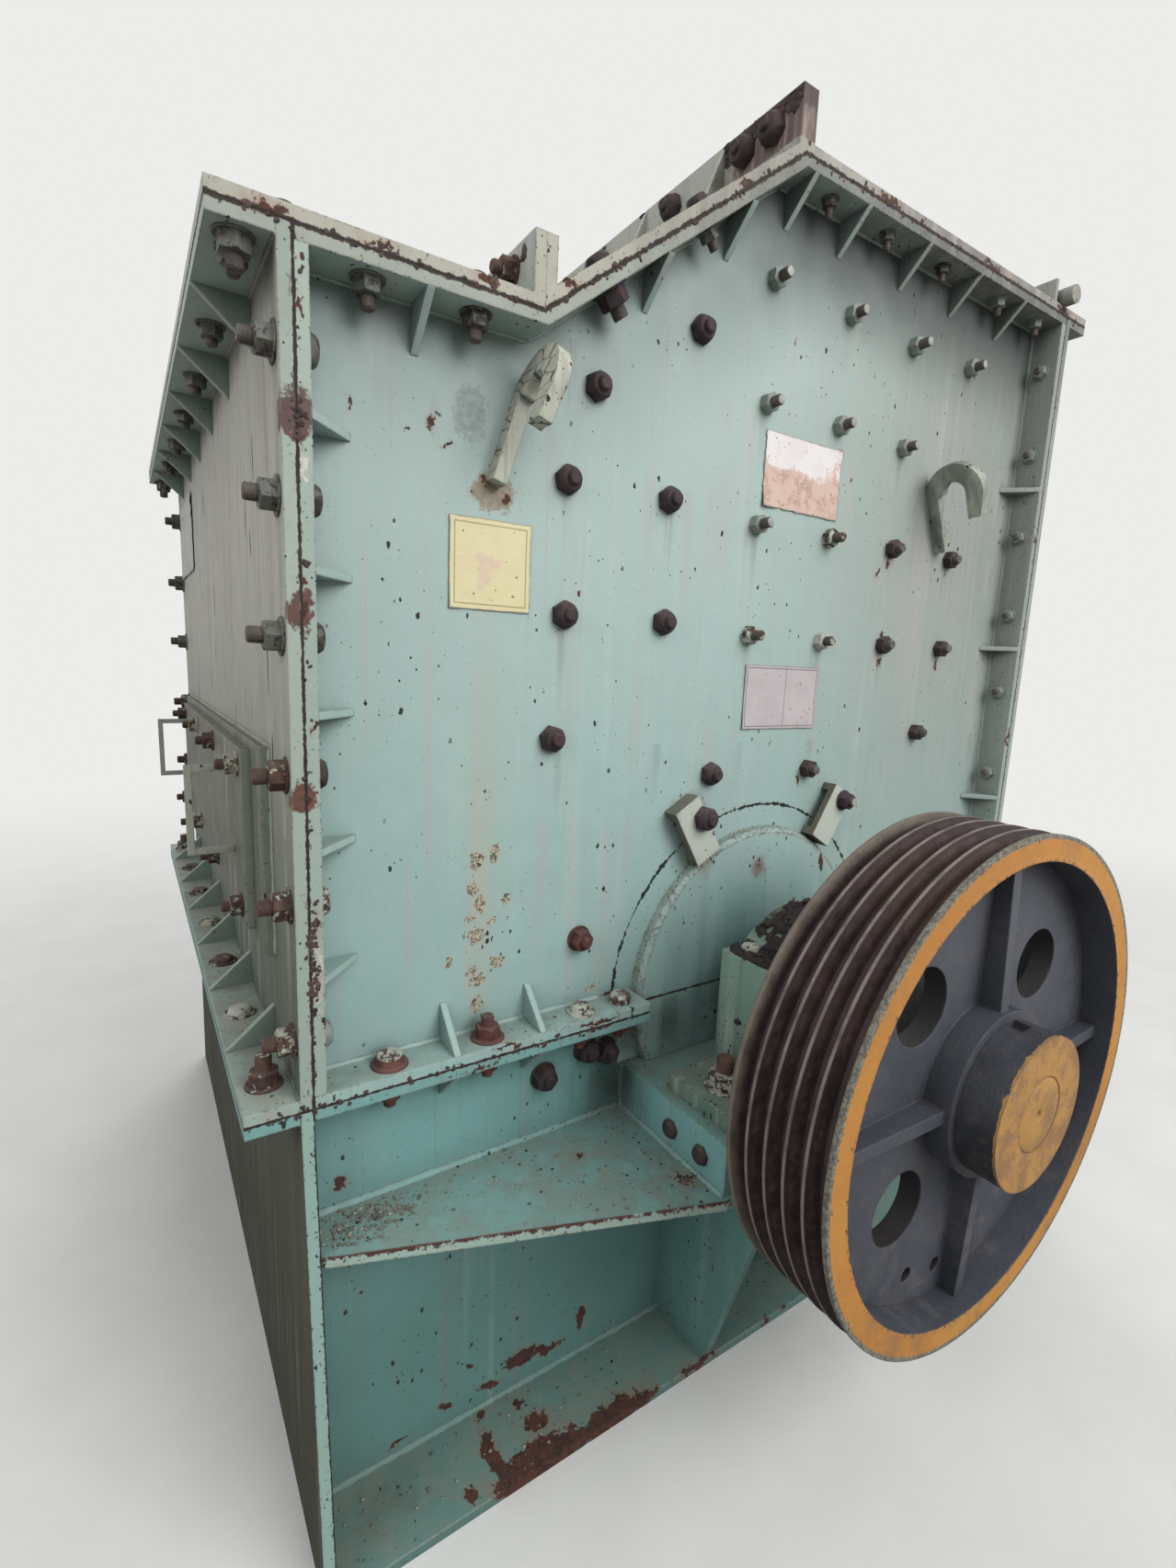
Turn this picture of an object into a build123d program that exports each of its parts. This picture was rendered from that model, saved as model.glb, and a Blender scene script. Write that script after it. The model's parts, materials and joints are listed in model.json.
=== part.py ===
"""Hammer crusher: a welded plate housing on an open base, with a bolted stepped roof.

The rotor shaft lies along Y in two pillow block bearings on shelves outside the side walls,
and carries discs, pinned hammers and a grooved drive pulley on the front side.
Millimetres, +Z up. X runs along the side walls, and the pulley side faces -Y.
The origin is on the floor, at the middle of the housing's length and width.
"""
from math import atan2, cos, tan
import os

from build123d import *

# Housing size, outside of the wall plates
LENGTH = 1953.0
WIDTH = 1617.0
PLATE = 20.0
LOW_ROOF = 2100.0
HIGH_ROOF = 2522.0
VALLEY_X = -605.0
PEAK_X = -56.0

# Rotor axis, which is also the height of the split between base and upper housing
AXIS_X = 38.5
AXIS_Z = 855.0

# Flange strips round the housing
SIDE_FLANGE = 74.0
END_FLANGE = 100.0
FLANGE = 20.0
SPLIT_FLANGE_END = 351.0
STANDING_FLANGE = 110.0
GUSSET = 12.0
GUSSET_LEG = 70.0
ROW_PITCH = 269.0
ROW_COUNT = 6

# Gussets along the side walls: places of those under the roof and at the split,
# then first height and pitch of those at the corners
TOP_GUSSETS = (-790.0, -361.0, -175.0, -21.0, 142.0, 358.0, 562.0, 768.0)
SPLIT_GUSSETS = (-736.0, -565.0, 642.0, 813.0)
LEFT_CORNER_GUSSET = 1063.0
LEFT_CORNER_PITCH = 203.0
LEFT_CORNER_COUNT = 5
RIGHT_CORNER_GUSSET = 1219.0
RIGHT_CORNER_PITCH = 432.0
RIGHT_CORNER_COUNT = 3

# Round bar and plate that stand on the roof at its high corners
CORNER_BAR_X = 955.0
CORNER_BAR = 45.0
CORNER_BAR_LENGTH = 160.0
CORNER_BAR_REACH = 26.0
CORNER_PLATE_X = 906.0
CORNER_PLATE_HEIGHT = 52.0

# Base frame
FOOT_DEPTH = 165.0
SHELF_TOP = 607.5
SHELF_DEPTH = 335.0
SHELF_END_DEPTH = 97.0
SHELF_FLAT = 361.0
SHELF_GUSSET_X = 205.0
PEDESTAL_HEIGHT = 100.0
PEDESTAL_DEPTH = 325.0

# Round covers that close the walls about the shaft
COVER_RADIUS = 400.0
DRUM_RADIUS = 345.0
DRUM_HEIGHT = 25.0
COVER_TAB = 79.0
COVER_GAP = 1.0
SHAFT_PASSAGE = 90.0
CLAMP_ANGLE = 31.0
CLAMP_WIDTH = 70.0
CLAMP_INNER = 352.0
CLAMP_OUTER = 492.0
CLAMP_PLATE = 16.0
CLAMP_STANDOFF = 22.0
CLAMP_FOOT = 18.0

# Inspection cover on the left end, on a wider seat frame
HATCH_WIDTH = 1220.0
HATCH_HEIGHT = 324.0
HATCH_Z = 1228.0
HATCH_PLATE = 16.0
HATCH_BORDER = 60.0
SEAT_SIDE = 103.5
SEAT_TOP = 16.0
HANDLE_X = 78.0
HANDLE_Z = 1266.0
HANDLE_HEIGHT = 167.0
HANDLE_SPACING = 984.0
HANDLE_BAR = 12.0

# Feed inlet in the high roof
INLET_X = 520.0
INLET_LENGTH = 700.0
INLET_WIDTH = 1200.0
INLET_FRAME = 80.0
INLET_PLATE = 16.0
INLET_HOLE = 11.0
INLET_HOLE_INSET = 35.0

# Wear tiles inside the side walls, each held by one bolt
TILE_PITCH = 235.0
TILE_GAP = 8.0
TILE_PLATE = 20.0
TILE_X = -511.5
TILE_Z = 1637.0

# Lifting hooks on the side walls: foot x, foot height, lean towards the middle
HOOKS = ((-656.0, 1846.0, 18.0), (625.0, 1886.0, -25.0))
HOOK_PLATE = 25.0
HOOK_LEG = 140.0
HOOK_WIDTH = 30.0
HOOK_OUTER = 72.0
HOOK_INNER = 29.0
HOOK_TIP = 62.0
HOOK_TAPER = 12.0

# Shaft and pillow block bearings
SEAT_CLEARANCE = 0.3
JOURNAL = 80.0
ROTOR_SEAT = 95.0
PULLEY_SEAT = 66.0
BEARING_START = 125.0
BEARING_LENGTH = 185.0
BEARING_HALF = 210.0
BEARING_FOOT_HALF = 335.0
BEARING_FOOT = 35.0
BEARING_DOME = 200.0
BEARING_LEDGE = 130.0
BEARING_END_WALL = 18.0

# Rotor: clipped square discs on a square shaft seat, and heavy hammers between them
DISC_MARGIN = 20.0
DISC_CLIP = 140.0
DISC_PLATE = 60.0
DISC_PITCH = 400.0
DISC_COUNT = 4
PIN_PITCH_RADIUS = 360.0
PIN_COUNT = 4
PIN_RADIUS = 35.0
DISC_CORNER = PIN_PITCH_RADIUS + PIN_RADIUS + DISC_MARGIN
HAMMER_LENGTH = 260.0
HAMMER_WIDTH = 150.0
HAMMER_SIDE_GAP = 14.0
HAMMER_EYE_END = 65.0
SHAFT_END_GAP = 2.0
JOURNAL_REACH = 20.0

# Drive pulley with five belt grooves, welded up from rim, web, ribs and hub
PULLEY_RADIUS = 461.0
PULLEY_FRONT = 610.0
GROOVE_COUNT = 5
GROOVE_PITCH = 37.0
GROOVE_EDGE = 24.0
GROOVE_TOP = 32.0
GROOVE_BOTTOM = 15.0
GROOVE_DEPTH = 26.0
RIM_INNER = 415.0
WEB_RECESS = 60.0
WEB_PLATE = 40.0
HUB_RADIUS = 150.0
HUB_RECESS = 10.0
WEB_HOLE_RADIUS = 68.0
WEB_HOLE_PITCH_RADIUS = 258.0
WEB_HOLE_COUNT = 4
JACK_HOLE_RADIUS = 14.0
JACK_HOLE_PITCH_RADIUS = 360.0
JACK_HOLE_ANGLES = (-96.0, -111.0)
RIB_PLATE = 24.0
RIB_DROP = 20.0
RIB_ROOT = 5.0
COLLAR_RADIUS = 135.0
COLLAR_REACH = 56.0
KEY_SLOT_WIDTH = 36.0
KEY_SLOT_DEPTH = 14.0

# Values that follow from the sizes above
HALF_LENGTH = LENGTH / 2
HALF_WIDTH = WIDTH / 2
FLANGE_X = HALF_LENGTH + END_FLANGE
FLANGE_Y = HALF_WIDTH + SIDE_FLANGE
SLOPE = atan2(HIGH_ROOF - LOW_ROOF, PEAK_X - VALLEY_X)
INNER_Y = HALF_WIDTH - PLATE
PEDESTAL_TOP = SHELF_TOP + PEDESTAL_HEIGHT
COVER_FLOOR = PEDESTAL_TOP + COVER_GAP
PULLEY_WIDTH = (GROOVE_COUNT - 1) * GROOVE_PITCH + 2 * GROOVE_EDGE

nodes = {}


def box(x0, x1, y0, y1, z0, z1):
    """A box between two corners."""
    size = Vector(x1 - x0, y1 - y0, z1 - z0)
    return Pos(x0 + size.X / 2, y0 + size.Y / 2, z0 + size.Z / 2) * Box(*size)


def side_plate(points, y0, y1):
    """A plate with an XZ outline, between two Y planes."""
    face = make_face(Polyline(*[(x, y1, z) for x, z in points], close=True))
    return extrude(face, amount=y1 - y0, dir=(0, -1, 0))


def cross_plate(points, x0, x1):
    """A plate with a YZ outline, between two X planes."""
    face = make_face(Polyline(*[(x0, y, z) for y, z in points], close=True))
    return extrude(face, amount=x1 - x0, dir=(1, 0, 0))


def flat_plate(points, z0, z1):
    """A plate with an XY outline, between two Z planes."""
    face = make_face(Polyline(*[(x, y, z0) for x, y in points], close=True))
    return extrude(face, amount=z1 - z0, dir=(0, 0, 1))


def shaft_cylinder(radius, y0, y1, x=AXIS_X, z=AXIS_Z):
    """A cylinder along Y, between two Y planes."""
    middle = Pos(x, (y0 + y1) / 2, z) * Rot(90, 0, 0)
    return middle * Cylinder(radius, y1 - y0)


def end_strip(side, z0, z1):
    """A level flange strip outside one end plate, over the full width."""
    near = side * (HALF_LENGTH + PLATE)
    far = side * FLANGE_X
    return box(min(near, far), max(near, far), -FLANGE_Y, FLANGE_Y, z0, z1)


def mirrored(shape):
    """The same piece on the rear side."""
    return mirror(shape, Plane.XZ)


def both_sides(shapes):
    """The given pieces with their copies on the rear side."""
    return list(shapes) + [mirrored(shape) for shape in shapes]


def roof_line(drop):
    """The four corners of the roof seam, lowered square to each stretch."""
    shift = drop * tan(SLOPE / 2)
    return [
        (-HALF_LENGTH, LOW_ROOF - drop),
        (VALLEY_X + shift, LOW_ROOF - drop),
        (PEAK_X + shift, HIGH_ROOF - drop),
        (HALF_LENGTH, HIGH_ROOF - drop),
    ]


def roof_height(x):
    """The height of the roof seam over one place."""
    if x <= VALLEY_X:
        return LOW_ROOF
    if x >= PEAK_X:
        return HIGH_ROOF
    return LOW_ROOF + (x - VALLEY_X) * tan(SLOPE)


def add(name, *shapes):
    """Keep the solids of one node."""
    solids = [solid for shape in shapes for solid in shape.solids()]
    nodes[name] = solids[0] if len(solids) == 1 else Compound(children=solids)


# Base: side walls with a round opening at the shaft, clear of the pedestals
def cover_disc(radius, y0, y1, floor, ceiling):
    """A disc about the shaft, cut to a band of heights."""
    band = box(AXIS_X - radius, AXIS_X + radius, y0, y1, floor, ceiling)
    return shaft_cylinder(radius, y0, y1) & band


wall_opening = cover_disc(COVER_RADIUS, -HALF_WIDTH, -INNER_Y, PEDESTAL_TOP, 2 * AXIS_Z)
base_wall = box(-HALF_LENGTH, HALF_LENGTH, -HALF_WIDTH, -INNER_Y, 0, AXIS_Z) - wall_opening
add("base_front_wall", base_wall)
add("base_rear_wall", mirrored(base_wall))

# Base ends: their edges run out past the side walls, wider towards the floor
base_end_outline = [
    (-HALF_WIDTH - FOOT_DEPTH, 0),
    (HALF_WIDTH + FOOT_DEPTH, 0),
    (FLANGE_Y, AXIS_Z),
    (-FLANGE_Y, AXIS_Z),
]
add("base_left_end", cross_plate(base_end_outline, -HALF_LENGTH - PLATE, -HALF_LENGTH))
add("base_right_end", cross_plate(base_end_outline, HALF_LENGTH, HALF_LENGTH + PLATE))

foot = box(-HALF_LENGTH, HALF_LENGTH, -HALF_WIDTH - FOOT_DEPTH, -HALF_WIDTH, 0, FLANGE)
add("foot_flanges", *both_sides([foot]))


def split_strips(z0, z1, gap):
    """The flange strips round the housing at the split, clear of both shaft covers."""
    strips = []
    for side in (-1, 1):
        near = AXIS_X + side * gap
        far = side * HALF_LENGTH
        strip = box(min(near, far), max(near, far), -FLANGE_Y, -HALF_WIDTH, z0, z1)
        strips += both_sides([strip])
        strips.append(end_strip(side, z0, z1))
    return strips


add("base_split_flange", *split_strips(AXIS_Z - FLANGE, AXIS_Z, SPLIT_FLANGE_END))

# Shelves that carry the bearing pedestals, with the gussets below them
shelf_outline = [
    (-HALF_LENGTH, -HALF_WIDTH),
    (-HALF_LENGTH, -HALF_WIDTH - SHELF_END_DEPTH),
    (AXIS_X - SHELF_FLAT, -HALF_WIDTH - SHELF_DEPTH),
    (AXIS_X + SHELF_FLAT, -HALF_WIDTH - SHELF_DEPTH),
    (HALF_LENGTH, -HALF_WIDTH - SHELF_END_DEPTH),
    (HALF_LENGTH, -HALF_WIDTH),
]
shelf = flat_plate(shelf_outline, SHELF_TOP - PLATE, SHELF_TOP)
add("front_shelf", shelf)
add("rear_shelf", mirrored(shelf))

shelf_gusset_outline = [
    (-HALF_WIDTH, FLANGE),
    (-HALF_WIDTH - FOOT_DEPTH, FLANGE),
    (-HALF_WIDTH - SHELF_DEPTH, SHELF_TOP - PLATE),
    (-HALF_WIDTH, SHELF_TOP - PLATE),
]
shelf_gussets = []
for side in (-1, 1):
    middle = AXIS_X + side * SHELF_GUSSET_X
    shelf_gussets.append(cross_plate(shelf_gusset_outline, middle - PLATE / 2, middle + PLATE / 2))
add("shelf_gussets", *both_sides(shelf_gussets))

# Pedestals: a box of plates, open at the wall and at the shelf
pedestal_front = -HALF_WIDTH - PEDESTAL_DEPTH
pedestal = box(AXIS_X - SHELF_FLAT, AXIS_X + SHELF_FLAT, pedestal_front, -HALF_WIDTH,
               SHELF_TOP, PEDESTAL_TOP)
for side in (-1, 1):
    inner = AXIS_X + side * PLATE / 2
    outer = AXIS_X + side * (SHELF_FLAT - PLATE)
    pedestal -= box(min(inner, outer), max(inner, outer), pedestal_front + PLATE, -HALF_WIDTH,
                    SHELF_TOP, PEDESTAL_TOP - PLATE)
add("front_pedestal", pedestal)
add("rear_pedestal", mirrored(pedestal))


# Pillow block bearings: foot, body with bolt ledges, and a round cap over the shaft
def pillow_block(blind):
    """One bearing on the front pedestal; a blind one closes the shaft's end."""
    inside = -HALF_WIDTH - BEARING_START
    outside = inside - BEARING_LENGTH
    ledge = AXIS_Z + BEARING_LEDGE
    block = box(AXIS_X - BEARING_FOOT_HALF, AXIS_X + BEARING_FOOT_HALF, outside, inside,
                PEDESTAL_TOP, PEDESTAL_TOP + BEARING_FOOT)
    block += box(AXIS_X - BEARING_HALF, AXIS_X + BEARING_HALF, outside, inside,
                 PEDESTAL_TOP, ledge)
    block += shaft_cylinder(BEARING_DOME, outside, inside)
    block -= box(AXIS_X - FLANGE_X, AXIS_X + FLANGE_X, outside, inside, 0, PEDESTAL_TOP)
    bore_end = outside + (BEARING_END_WALL if blind else 0)
    return block - shaft_cylinder(JOURNAL + SEAT_CLEARANCE, bore_end, inside)


add("front_bearing", pillow_block(blind=False))
add("rear_bearing", mirrored(pillow_block(blind=True)))

# Upper side walls under the stepped roof
upper_outline = [(-HALF_LENGTH, AXIS_Z)] + roof_line(0) + [(HALF_LENGTH, AXIS_Z)]
upper_wall = side_plate(upper_outline, -HALF_WIDTH, -INNER_Y) - wall_opening
add("upper_front_wall", upper_wall)
add("upper_rear_wall", mirrored(upper_wall))

# Upper ends: their edges are the outer half of the corner flanges
hatch_opening = box(-FLANGE_X, 0, HATCH_BORDER - HATCH_WIDTH / 2, HATCH_WIDTH / 2 - HATCH_BORDER,
                    HATCH_Z - HATCH_HEIGHT / 2 + HATCH_BORDER,
                    HATCH_Z + HATCH_HEIGHT / 2 - HATCH_BORDER)
upper_floor = AXIS_Z + FLANGE
left_end = box(-HALF_LENGTH - PLATE, -HALF_LENGTH, -FLANGE_Y, FLANGE_Y, AXIS_Z, LOW_ROOF)
add("upper_left_end", left_end - hatch_opening)
add("upper_right_end", box(HALF_LENGTH, HALF_LENGTH + PLATE, -FLANGE_Y, FLANGE_Y,
                           AXIS_Z, HIGH_ROOF))

corner_flanges = [
    box(-HALF_LENGTH, FLANGE - HALF_LENGTH, -FLANGE_Y, -HALF_WIDTH,
        upper_floor, LOW_ROOF - FLANGE),
    box(HALF_LENGTH - FLANGE, HALF_LENGTH, -FLANGE_Y, -HALF_WIDTH,
        upper_floor, HIGH_ROOF - FLANGE),
]
add("corner_flanges", *both_sides(corner_flanges))

tab_start = SPLIT_FLANGE_END + COVER_TAB
add("upper_split_flange", *split_strips(AXIS_Z, AXIS_Z + FLANGE, tab_start + COVER_GAP))

# Top flange: strips under the roof seam along both walls and both ends
strip_outline = roof_line(0) + list(reversed(roof_line(FLANGE)))
top_strips = both_sides([side_plate(strip_outline, -FLANGE_Y, -HALF_WIDTH)])
top_strips.append(end_strip(-1, LOW_ROOF - FLANGE, LOW_ROOF))
top_strips.append(end_strip(1, HIGH_ROOF - FLANGE, HIGH_ROOF))
add("top_flange", *top_strips)


# Gussets
def hanging_gusset(x):
    """A triangle below the top flange, square to the front wall."""
    top = roof_height(x) - FLANGE
    if VALLEY_X < x < PEAK_X:
        top = roof_height(x - GUSSET / 2) - FLANGE / cos(SLOPE)
    points = [(-HALF_WIDTH, top), (-FLANGE_Y, top), (-HALF_WIDTH, top - GUSSET_LEG)]
    return cross_plate(points, x - GUSSET / 2, x + GUSSET / 2)


def split_gusset(x, z, rise):
    """A triangle above or below the split flanges, square to the front wall."""
    points = [(-HALF_WIDTH, z), (-FLANGE_Y, z), (-HALF_WIDTH, z + rise)]
    return cross_plate(points, x - GUSSET / 2, x + GUSSET / 2)


def corner_gusset(z, side):
    """A level triangle between a corner flange and the front wall."""
    corner = side * (HALF_LENGTH - FLANGE)
    points = [(corner, -HALF_WIDTH), (corner, -FLANGE_Y),
              (corner - side * GUSSET_LEG, -HALF_WIDTH)]
    return flat_plate(points, z - GUSSET / 2, z + GUSSET / 2)


def end_gusset(y, side, flange_z, rise):
    """A triangle between an end wall and a level flange, above or below it."""
    wall = side * (HALF_LENGTH + PLATE)
    points = [(wall, flange_z), (side * FLANGE_X, flange_z), (wall, flange_z + rise)]
    return side_plate(points, y - GUSSET / 2, y + GUSSET / 2)


left_corner_places = [LEFT_CORNER_GUSSET + LEFT_CORNER_PITCH * step
                      for step in range(LEFT_CORNER_COUNT)]
right_corner_places = [RIGHT_CORNER_GUSSET + RIGHT_CORNER_PITCH * step
                       for step in range(RIGHT_CORNER_COUNT)]
front_gussets = [hanging_gusset(x) for x in TOP_GUSSETS]
front_gussets += [split_gusset(x, upper_floor, GUSSET_LEG) for x in SPLIT_GUSSETS]
front_gussets += [split_gusset(x, AXIS_Z - FLANGE, -GUSSET_LEG) for x in SPLIT_GUSSETS]
front_gussets += [corner_gusset(z, -1) for z in left_corner_places]
front_gussets += [corner_gusset(z, 1) for z in right_corner_places]
add("front_gussets", *front_gussets)
add("rear_gussets", *[mirrored(gusset) for gusset in front_gussets])

row_places = [ROW_PITCH * (step - (ROW_COUNT - 1) / 2) for step in range(ROW_COUNT)]
for end_name, side, roof in (("left", -1, LOW_ROOF), ("right", 1, HIGH_ROOF)):
    end_gussets = [end_gusset(y, side, upper_floor, GUSSET_LEG) for y in row_places]
    end_gussets += [end_gusset(y, side, roof - FLANGE, -GUSSET_LEG) for y in row_places]
    add(end_name + "_end_gussets", *end_gussets)

# Roof covers, bolted to the top flange and to each other at standing flanges
low_cover = box(-FLANGE_X, VALLEY_X, -FLANGE_Y, FLANGE_Y, LOW_ROOF, LOW_ROOF + PLATE)
low_cover += box(VALLEY_X - FLANGE, VALLEY_X, -FLANGE_Y, FLANGE_Y,
                 LOW_ROOF, LOW_ROOF + STANDING_FLANGE)
add("low_roof_cover", low_cover)

slope_rise = PLATE / cos(SLOPE)
slope_outline = [(VALLEY_X, LOW_ROOF), (PEAK_X, HIGH_ROOF), (PEAK_X, HIGH_ROOF + slope_rise),
                 (VALLEY_X, LOW_ROOF + slope_rise)]
slope_cover = side_plate(slope_outline, -FLANGE_Y, FLANGE_Y)
slope_cover += box(VALLEY_X, VALLEY_X + FLANGE, -FLANGE_Y, FLANGE_Y,
                   LOW_ROOF + slope_rise, LOW_ROOF + STANDING_FLANGE)
slope_cover += box(PEAK_X - FLANGE, PEAK_X, -FLANGE_Y, FLANGE_Y,
                   HIGH_ROOF, HIGH_ROOF + STANDING_FLANGE)
rib_top = (PEAK_X - FLANGE, HIGH_ROOF + STANDING_FLANGE)
rib_feet = [(x, roof_height(x) + slope_rise / 2)
            for x in (PEAK_X - FLANGE - GUSSET_LEG, PEAK_X - FLANGE)]
for y in row_places:
    slope_cover += side_plate([rib_top] + rib_feet, y - GUSSET / 2, y + GUSSET / 2)
add("slope_roof_cover", slope_cover)

inlet = box(INLET_X - INLET_LENGTH / 2, INLET_X + INLET_LENGTH / 2, -INLET_WIDTH / 2,
            INLET_WIDTH / 2, HIGH_ROOF, HIGH_ROOF + STANDING_FLANGE)
high_cover = box(PEAK_X, FLANGE_X, -FLANGE_Y, FLANGE_Y, HIGH_ROOF, HIGH_ROOF + PLATE)
high_cover += box(PEAK_X, PEAK_X + FLANGE, -FLANGE_Y, FLANGE_Y,
                  HIGH_ROOF, HIGH_ROOF + STANDING_FLANGE)
high_cover -= inlet

# Corner lugs: a short plate on edge, and a round bar that reaches past the cover's edge
lug_floor = HIGH_ROOF + PLATE
lug_end = CORNER_BAR_LENGTH - FLANGE_Y - CORNER_BAR_REACH
corner_plate = box(CORNER_PLATE_X - GUSSET / 2, CORNER_PLATE_X + GUSSET / 2, -FLANGE_Y, lug_end,
                   HIGH_ROOF, lug_floor + CORNER_PLATE_HEIGHT)
corner_bar = shaft_cylinder(CORNER_BAR / 2, -FLANGE_Y - CORNER_BAR_REACH, lug_end,
                            CORNER_BAR_X, lug_floor + CORNER_BAR / 2 - 1)
for lug in both_sides([corner_plate, corner_bar]):
    high_cover += lug
add("high_roof_cover", high_cover)

frame_x = INLET_LENGTH / 2 + INLET_FRAME
frame_y = INLET_WIDTH / 2 + INLET_FRAME
frame_z = HIGH_ROOF + PLATE
inlet_frame = box(INLET_X - frame_x, INLET_X + frame_x, -frame_y, frame_y,
                  frame_z, frame_z + INLET_PLATE) - inlet
for x in (INLET_HOLE_INSET - frame_x, 0, frame_x - INLET_HOLE_INSET):
    for y in (INLET_HOLE_INSET - frame_y, 0, frame_y - INLET_HOLE_INSET):
        if x or y:
            place = Pos(INLET_X + x, y, frame_z + INLET_PLATE / 2)
            inlet_frame -= place * Cylinder(INLET_HOLE, INLET_PLATE)
add("feed_inlet_frame", inlet_frame)

# Shaft covers: a ring flush with the wall, and a raised drum with a bevelled edge
cover_inner = COVER_RADIUS - COVER_GAP
shaft_passage = shaft_cylinder(SHAFT_PASSAGE, -FLANGE_Y - DRUM_HEIGHT, -INNER_Y)


def shaft_cover(floor, ceiling):
    """One half of the cover in the front wall."""
    cover = cover_disc(cover_inner, -HALF_WIDTH, -INNER_Y, floor, ceiling)
    drum = shaft_cylinder(DRUM_RADIUS, -HALF_WIDTH - DRUM_HEIGHT, -HALF_WIDTH)
    drum = chamfer(drum.edges().sort_by(Axis.Y)[0], DRUM_HEIGHT / 3)
    drum &= box(AXIS_X - COVER_RADIUS, AXIS_X + COVER_RADIUS, -HALF_WIDTH - DRUM_HEIGHT,
                -HALF_WIDTH, floor, ceiling)
    return cover + drum - shaft_passage


upper_cover = shaft_cover(AXIS_Z, AXIS_Z + 2 * COVER_RADIUS)
for side in (-1, 1):
    near = AXIS_X + side * (SPLIT_FLANGE_END + COVER_GAP)
    far = AXIS_X + side * tab_start
    upper_cover += box(min(near, far), max(near, far), -FLANGE_Y, -HALF_WIDTH,
                       AXIS_Z, AXIS_Z + FLANGE)
lower_cover = shaft_cover(COVER_FLOOR, AXIS_Z - COVER_GAP / 2)
add("upper_shaft_covers", *both_sides([upper_cover]))
add("lower_shaft_covers", *both_sides([lower_cover]))

clamp_face = -HALF_WIDTH - CLAMP_STANDOFF - CLAMP_PLATE
clamp = box(-CLAMP_WIDTH / 2, CLAMP_WIDTH / 2, clamp_face, -HALF_WIDTH, CLAMP_INNER, CLAMP_OUTER)
clamp -= box(-CLAMP_WIDTH / 2, CLAMP_WIDTH / 2, -HALF_WIDTH - CLAMP_STANDOFF, -HALF_WIDTH,
             CLAMP_INNER + CLAMP_FOOT, CLAMP_OUTER - CLAMP_FOOT)
clamps = [Pos(AXIS_X, 0, AXIS_Z) * Rot(0, side * CLAMP_ANGLE, 0) * clamp for side in (-1, 1)]
add("cover_clamps", *both_sides(clamps))

# Inspection cover: a seat frame on the end wall, the cover plate, and two bar handles
wall_face = -HALF_LENGTH - PLATE
seat_face = wall_face - HATCH_PLATE
cover_face = seat_face - HATCH_PLATE


def hatch_plate(x0, x1, side_margin, top_margin):
    """A plate about the hatch, wider than the cover by the margins."""
    half = HATCH_WIDTH / 2 + side_margin
    rise = HATCH_HEIGHT / 2 + top_margin
    return box(x0, x1, -half, half, HATCH_Z - rise, HATCH_Z + rise)


add("hatch_frame", hatch_plate(seat_face, wall_face, SEAT_SIDE, SEAT_TOP) - hatch_opening)
add("inspection_cover", hatch_plate(cover_face, seat_face, 0, 0))

handles = []
handle_end = cover_face - HANDLE_X
for side in (-1, 1):
    y = side * HANDLE_SPACING / 2
    z0 = HANDLE_Z - HANDLE_HEIGHT / 2
    z1 = HANDLE_Z + HANDLE_HEIGHT / 2
    handle = box(handle_end, cover_face, y - HANDLE_BAR / 2, y + HANDLE_BAR / 2, z0, z1)
    handle -= box(handle_end + HANDLE_BAR, cover_face, y - HANDLE_BAR / 2, y + HANDLE_BAR / 2,
                  z0 + HANDLE_BAR, z1 - HANDLE_BAR)
    handles.append(handle)
add("cover_handles", *handles)


# Lifting hooks: cane shaped plates that stand square to the wall
def lifting_hook(x, z, lean):
    """A hook with its leg on the front wall, its arch out to the front and its tip down."""
    centre = HOOK_OUTER
    face = make_face(Polyline((0, 0), (HOOK_WIDTH, 0), (HOOK_WIDTH, HOOK_LEG),
                              (0, HOOK_LEG), close=True))
    face += Pos(centre, HOOK_LEG) * Circle(HOOK_OUTER)
    tip_inner = centre + HOOK_INNER
    face += make_face(Polyline((tip_inner, HOOK_LEG), (tip_inner, HOOK_LEG - HOOK_TIP),
                               (2 * centre - HOOK_TAPER, HOOK_LEG - HOOK_TIP), (2 * centre, HOOK_LEG),
                               close=True))
    mouth = make_face(Polyline((HOOK_WIDTH, -1), (tip_inner, -1), (tip_inner, HOOK_LEG),
                               (HOOK_WIDTH, HOOK_LEG), close=True))
    face -= Pos(centre, HOOK_LEG) * Circle(HOOK_INNER)
    face -= mouth
    lying = extrude(face, amount=HOOK_PLATE / 2, both=True)
    standing = Plane(origin=(0, -HALF_WIDTH, 0), x_dir=(0, -1, 0), z_dir=(-1, 0, 0)) * lying
    return Pos(x, 0, z) * Rot(0, lean, 0) * standing


add("lifting_hooks", *both_sides([lifting_hook(*hook) for hook in HOOKS]))


# Wear tiles on the inner faces of the side walls
def tile(x, z):
    """One square tile, cut back from the roof and from the shaft cover."""
    half = (TILE_PITCH - TILE_GAP) / 2
    plate = box(x - half, x + half, -INNER_Y, TILE_PLATE - INNER_Y, z - half, z + half)
    limit = [(-HALF_LENGTH, AXIS_Z)] + roof_line(TILE_GAP) + [(HALF_LENGTH, AXIS_Z)]
    plate &= side_plate(limit, -INNER_Y, TILE_PLATE - INNER_Y)
    return plate - shaft_cylinder(COVER_RADIUS + TILE_GAP, -INNER_Y, TILE_PLATE - INNER_Y)


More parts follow.
